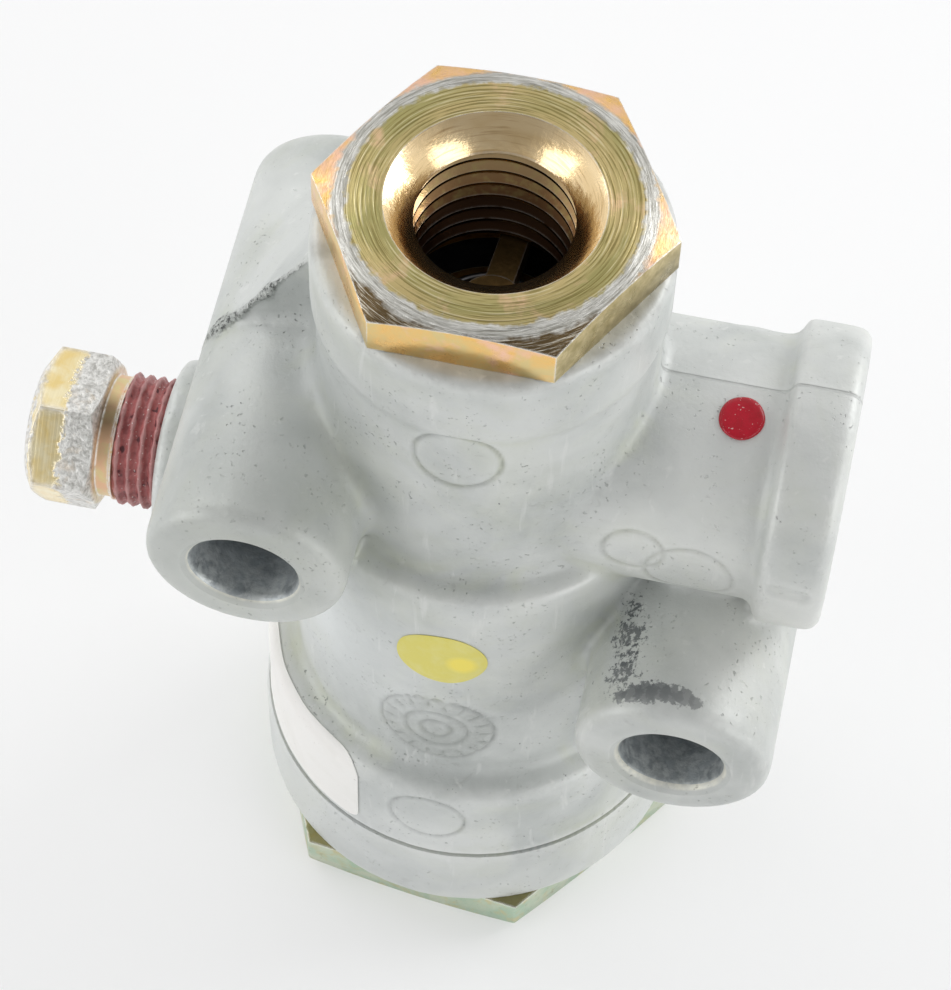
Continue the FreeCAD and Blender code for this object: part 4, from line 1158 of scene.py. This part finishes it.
class ValveSupplyCap(bpy.types.Operator):
    """Models the top cap: chamfered hexagon, spigot, countersink and pipe thread"""

    bl_idname = "valve.supply_cap"
    bl_label = "Top cap"

    def execute(self, context):
        sizes = context.scene.valve_fittings
        cap = hexagon("top_cap", sizes.cap_flats / MM, 74.37, 78.12, 0, 0.61, 0.31, True)
        combine(cap, lathe("spigot", [(9.5, 66.2), (9.66, 66.4), (9.66, 75)]), "UNION")
        combine(cap, lathe("countersink", [(5.5, 76.06), (7.64, 78.12), (9.3, 79.72)]))
        combine(cap, thread("supply_thread", 5.72, 6.6, sizes.port_pitch / MM, 65, 76.12))
        clean(cap)
        soften(cap, 0.1, 2, 24)
        wear(cap, gold_finish(context.scene.valve_colours))
        smooth(cap, 28)
        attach(cap, "housing")
        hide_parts("supply_cap")
        return {"FINISHED"}


class ValveBottomCap(bpy.types.Operator):
    """Models the bottom cap: hexagon, hollow spigot, vent holes and the flap's recess"""

    bl_idname = "valve.bottom_cap"
    bl_label = "Bottom cap"

    def execute(self, context):
        sizes = context.scene.valve_fittings
        colours = context.scene.valve_colours
        cap = hexagon("base_cap", sizes.base_flats / MM, 0, 4.08, 53, 0.475, 0.32, False)
        soften(cap, 0.18, 2, 20)
        combine(cap, lathe("spigot", [(13.86, 3), (13.86, 10.2), (13.6, 10.48)]), "UNION")
        combine(cap, lathe("spring_recess", [(11.6, 3.6), (11.6, 12)]))
        recess = [(9.3, -1), (9.0, 0), (8.6, 0.4), (8.6, 1.7)]
        combine(cap, lathe("flap_recess", recess))
        combine(cap, lathe("rivet_hole", [(1.15, 1), (1.15, 4)], 48))
        for number in range(6):
            turn = math.radians(60 * number)
            vent = lathe("vent", [(0.9, 1), (0.9, 4.5)], 32)
            lay(vent, "+Z", (3.3 * math.cos(turn), 3.3 * math.sin(turn), 0))
            combine(cap, vent)
        clean(cap)
        wear(cap, base_finish(colours))
        smooth(cap, 30)
        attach(cap, "housing")
        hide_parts("bottom_cap")
        return {"FINISHED"}


def plug_form(sizes):
    """The plug: a hexagon head turned at both ends, a neck and a plain shank."""
    plug = hexagon("plug_head", sizes.plug_flats / MM, 4.9, 10.5, 39, 0.855, 0.6, True)
    combine(plug, lathe("inner_turning", [(5.3, 4.9), (7, 5.75), (7, 11)]), "INTERSECT")
    soften(plug, 0.22, 3, 20)
    shank = [(4.2, -5.2), (4.5, -4.9), (4.5, 3.5), (4.95, 3.62)]
    shank += [(4.95, 3.75), (4.75, 3.85), (4.75, 4.75), (4.9, 5.2)]
    combine(plug, lathe("shank", shank, 96), "UNION")
    clean(plug)
    return lay(plug, "-X", PLUG_FACE)


def sealant_form(sizes):
    """Dried sealant on the plug's thread: its turns, softened and lumpy."""
    sealant = thread("sealed_thread", 4.78, 5.22, sizes.plug_pitch / MM, 0.05, 3.6)
    combine(sealant, lathe("plug_space", [(4.56, -1), (4.56, 5)], 96))
    work(sealant, "REMESH", mode="VOXEL", voxel_size=0.12 * MM)
    work(sealant, "SMOOTH", factor=0.5, iterations=6)
    places = points_of(sealant)
    lumps = np.sin(places[:, 0] * 3.1 + places[:, 2] * 2.3) * np.sin(places[:, 1] * 3.7 + 1.1)
    outer = np.hypot(places[:, 0], places[:, 1]) > 4.7
    raise_points(sealant, 0.05 * lumps * outer)
    lay(sealant, "-X", PLUG_FACE)
    record_edges(sealant)
    return sealant


class ValvePortPlug(bpy.types.Operator):
    """Models the plug in the side port and the dried sealant on its thread"""

    bl_idname = "valve.port_plug"
    bl_label = "Port plug"

    def execute(self, context):
        sizes = context.scene.valve_fittings
        plug = plug_form(sizes)
        wear(plug, plug_finish())
        smooth(plug, 30)
        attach(plug, "housing")
        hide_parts("port_plug")
        sealant = sealant_form(sizes)
        wear(sealant, sealant_finish(context.scene.valve_colours))
        smooth(sealant, 50)
        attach(sealant, "housing")
        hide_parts("plug_sealant")
        return {"FINISHED"}


# The label's foot, the top of the flange's straight side and the rounding above it, in millimetres
LABEL_FOOT = 12.75
FLANGE_SIDE_TOP = 20.78
LABEL_ROUND = 1.24
LABEL_HALF_WIDTH = 4.75


def label_surface(around, up, sizes):
    """Place on the flange of a point of the label: turn in radians, run up the surface in millimetres."""
    radius = sizes.flange_radius / MM + 0.04
    straight = FLANGE_SIDE_TOP - LABEL_FOOT
    if up < straight:
        out, height = radius, LABEL_FOOT + up
    else:
        turn = min((up - straight) / LABEL_ROUND, math.pi / 2)
        out = radius - LABEL_ROUND + LABEL_ROUND * math.cos(turn)
        height = FLANGE_SIDE_TOP + LABEL_ROUND * math.sin(turn)
        out -= max(up - straight - LABEL_ROUND * math.pi / 2, 0)
    return Vector((out * math.cos(around), out * math.sin(around), height)) * MM


class ValveLabel(bpy.types.Operator):
    """Models the film label bent round the flange, with rounded corners and a creased top edge"""

    bl_idname = "valve.label"
    bl_label = "Label"

    def execute(self, context):
        body = context.scene.valve_body
        marks = context.scene.valve_marks
        let_go()
        bpy.ops.mesh.primitive_grid_add(x_subdivisions=180, y_subdivisions=36, size=2)
        label = added("flange_label")
        length = (marks.label_end - marks.label_start) * body.flange_radius / MM / 2
        half = LABEL_HALF_WIDTH
        for point in label.data.vertices:
            across, up = point.co.x, point.co.y * half
            corner = 2.4 if up > 0 else 1.0
            over = max(abs(up) - (half - corner), 0)
            trim = corner - math.sqrt(corner * corner - over * over)
            along = across * (length - trim)
            turn = (marks.label_start + marks.label_end) / 2 + along * MM / body.flange_radius
            wave = 0.05 * math.sin(along * 0.5) + 0.03 * math.sin(along * 1.3 + 1)
            lift = max(point.co.y, 0) ** 3
            point.co = label_surface(turn, up + half + wave * lift, body)
        work(
            label,
            "SHRINKWRAP",
            target=bpy.data.objects["cast_body"],
            wrap_method="NEAREST_SURFACEPOINT",
            wrap_mode="ABOVE_SURFACE",
            offset=0.05 * MM,
        )
        work(label, "SMOOTH", factor=0.5, iterations=3)
        work(label, "SOLIDIFY", thickness=0.09 * MM, offset=1)
        clean(label)
        wear(label, label_finish(context.scene.valve_colours))
        smooth(label, 50)
        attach(label, "housing")
        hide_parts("label")
        return {"FINISHED"}


def paint_drop(name, radius, height, place, towards, ripple):
    """A domed drop of paint: rings of falling radius, ragged at the rim, pointed at its surface."""
    rings = [(1, 0), (1, 0.35), (0.93, 0.8), (0.8, 0.95), (0.6, 1.0), (0.4, 1.0), (0.2, 1.0), (0.05, 1.0)]
    outline = [(radius * out, height * up) for out, up in rings]
    drop = lathe(name, outline, 64)
    for point in drop.data.vertices:
        turn = math.atan2(point.co.y, point.co.x)
        swell = 1 + ripple * (math.sin(turn * 2 + 0.6) + 0.5 * math.sin(turn * 5 + 2))
        point.co.x *= swell
        point.co.y *= swell
    drop.rotation_euler = Vector(towards).to_track_quat("Z", "Y").to_euler()
    drop.location = Vector(place) * MM
    return settle(drop)


class ValvePaintMarks(bpy.types.Operator):
    """Models the inspection paint marks on the barrel and on the port's neck"""

    bl_idname = "valve.paint_marks"
    bl_label = "Paint marks"

    def execute(self, context):
        marks = context.scene.valve_marks
        colours = context.scene.valve_colours
        body = context.scene.valve_body
        radius = body.barrel_radius / MM
        yellow = paint_drop(
            "yellow_mark", marks.yellow_radius / MM, 0.1, (-0.15, -radius, 39.8), (0, -1, 0), 0.02
        )
        for point in yellow.data.vertices:
            sunk = radius * MM - math.sqrt(max((radius * MM) ** 2 - point.co.x**2, 0))
            point.co.y += sunk - 0.02 * MM
        paint = paint_finish(
            "yellow_paint", colours.yellow_paint, (0.78, 0.72, 0.24), 0.38, (1.46, -14.5, 39.55)
        )
        wear(yellow, paint)
        red = paint_drop(
            "red_mark", marks.red_radius / MM, 0.28, (18.79, -2.54, 61.32), (0, -0.26, 0.965), 0.015
        )
        wear(red, paint_finish("red_paint", colours.red_paint, (0.36, 0.003, 0.012), 0.1, None, 0.6))
        for mark in (yellow, red):
            smooth(mark, 60)
            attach(mark, "housing")
        return {"FINISHED"}


class ValveInnerParts(bpy.types.Operator):
    """Finishes the valve, piston, springs, seals and exhaust parts that the frame carries"""

    bl_idname = "valve.inner_parts"
    bl_label = "Inner parts"

    def execute(self, context):
        finishes = {
            "brass": metal_finish("brass", (0.50, 0.33, 0.13), (0.30, 0.19, 0.07), 0.35),
            "piston_metal": metal_finish("piston_metal", (0.74, 0.74, 0.72), (0.6, 0.6, 0.6), 0.3),
            "spring_steel": metal_finish("spring_steel", (0.42, 0.43, 0.45), (0.30, 0.30, 0.31), 0.3),
            "seal_rubber": rubber_finish(),
        }
        slots = {row["node"]: row["material_slot"] for row in frame["record"]["subparts"]}
        for name, node in frame["nodes"].items():
            if slots[name] in finishes:
                wear(node, finishes[slots[name]])
        return {"FINISHED"}


# The lamps: name, place and size in metres, power in watts
LAMPS = [
    ("right_lamp", (0.42, 0.30, 0.30), 0.30, 1.05),
    ("left_lamp", (-0.40, 0.22, 0.42), 0.32, 0.55),
    ("low_left_lamp", (-0.38, -0.24, 0.16), 0.28, 0.42),
    ("low_right_lamp", (0.38, -0.20, 0.15), 0.28, 0.42),
]

# The camera at the photograph's angle: metres, degrees and lens in millimetres
CAMERA_PLACE = (0.02324839, -0.13628947, 0.26440936)
CAMERA_TURN = (31.64731273, -1.22418474, 11.89131461)
CAMERA_LENS = 124.56489258


def floor_finish():
    """Pale paper, seen a little brighter than it lights the valve."""
    f = Finish("floor_paper")
    shade = f.mix(f.between(f.noise(60, 2, 0.5), 0.3, 0.7), (0.87, 0.875, 0.88), (0.89, 0.895, 0.90))
    rays = f.add("ShaderNodeLightPath").outputs
    seen = f.sum("MAXIMUM", rays["Is Camera Ray"], rays["Is Glossy Ray"])
    seen = f.sum("MAXIMUM", seen, rays["Is Transmission Ray"])
    shade = f.mix(seen, shade, (0.60, 0.602, 0.605))
    f.set(Base_Color=shade, Roughness=0.9, Emission_Strength=f.sum("MULTIPLY", seen, 0.36))
    return f.set(Emission_Color=(1, 1, 1))


def studio_world():
    """A white room that is darker above the viewer."""
    world = bpy.data.worlds.new("studio")
    world.use_nodes = True
    tree = world.node_tree
    room = tree.nodes.new("ShaderNodeTexCoord")
    towards = tree.nodes.new("ShaderNodeVectorMath")
    towards.operation = "DOT_PRODUCT"
    towards.inputs[1].default_value = (0.10, -0.58, 0.81)
    dim = tree.nodes.new("ShaderNodeMapRange")
    for name, value in {"From Min": 0.35, "From Max": 0.85, "To Min": 0.92, "To Max": 0.36}.items():
        dim.inputs[name].default_value = value
    background = tree.nodes["Background"]
    background.inputs["Color"].default_value = (1, 1, 1, 1)
    tree.links.new(room.outputs["Generated"], towards.inputs[0])
    tree.links.new(towards.outputs["Value"], dim.inputs["Value"])
    tree.links.new(dim.outputs["Result"], background.inputs["Strength"])
    return world


class ValveStage(bpy.types.Operator):
    """Sets the pale floor, the soft studio light and the camera"""

    bl_idname = "valve.stage"
    bl_label = "Stage"

    def execute(self, context):
        let_go()
        bpy.ops.mesh.primitive_plane_add(size=4, location=(0, 0, 0))
        floor = added("floor")
        wear(floor, floor_finish())
        context.scene.world = studio_world()
        for name, place, size, power in LAMPS:
            bpy.ops.object.light_add(type="AREA", location=place)
            lamp = bpy.context.object
            lamp.name = name
            lamp.rotation_euler = (Vector((0, 0, 0.04)) - Vector(place)).to_track_quat("-Z", "Y").to_euler()
            lamp.data.size = size
            lamp.data.energy = power
        bpy.ops.object.camera_add(
            location=CAMERA_PLACE, rotation=tuple(math.radians(turn) for turn in CAMERA_TURN)
        )
        camera = bpy.context.object
        camera.name = "camera"
        camera.data.lens = CAMERA_LENS
        camera.data.clip_start = 0.01
        context.scene.camera = camera
        context.scene.view_settings.view_transform = "Standard"
        return {"FINISHED"}


class ValvePanel(bpy.types.Panel):
    """Lists the valve's pieces, sizes and colours in the sidebar"""

    bl_idname = "VIEW3D_PT_valve"
    bl_label = "Pressure Reducing Valve"
    bl_space_type = "VIEW_3D"
    bl_region_type = "UI"
    bl_category = "Valve"

    def draw(self, context):
        for operator in OPERATORS:
            self.layout.operator(operator.bl_idname)
        for name in GROUPS:
            column = self.layout.column()
            group = getattr(context.scene, name)
            for key in group.__annotations__:
                column.prop(group, key)


GROUPS = {
    "valve_body": ValveBodySizes,
    "valve_fittings": ValveFittingSizes,
    "valve_marks": ValveMarkSizes,
    "valve_colours": ValveColours,
}
OPERATORS = [
    ValveStage,
    ValveCastBody,
    ValveSupplyCap,
    ValveBottomCap,
    ValvePortPlug,
    ValveLabel,
    ValvePaintMarks,
    ValveInnerParts,
]


def register():
    for group in GROUPS.values():
        bpy.utils.register_class(group)
    for name, group in GROUPS.items():
        setattr(bpy.types.Scene, name, bpy.props.PointerProperty(type=group))
    for operator in OPERATORS:
        bpy.utils.register_class(operator)
    bpy.utils.register_class(ValvePanel)


def unregister():
    bpy.utils.unregister_class(ValvePanel)
    for operator in reversed(OPERATORS):
        bpy.utils.unregister_class(operator)
    for name in GROUPS:
        delattr(bpy.types.Scene, name)
    for group in reversed(GROUPS.values()):
        bpy.utils.unregister_class(group)


def main():
    register()
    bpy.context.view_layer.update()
    for operator in OPERATORS:
        family, name = operator.bl_idname.split(".")
        getattr(getattr(bpy.ops, family), name)()


if __name__ == "__main__":
    main()
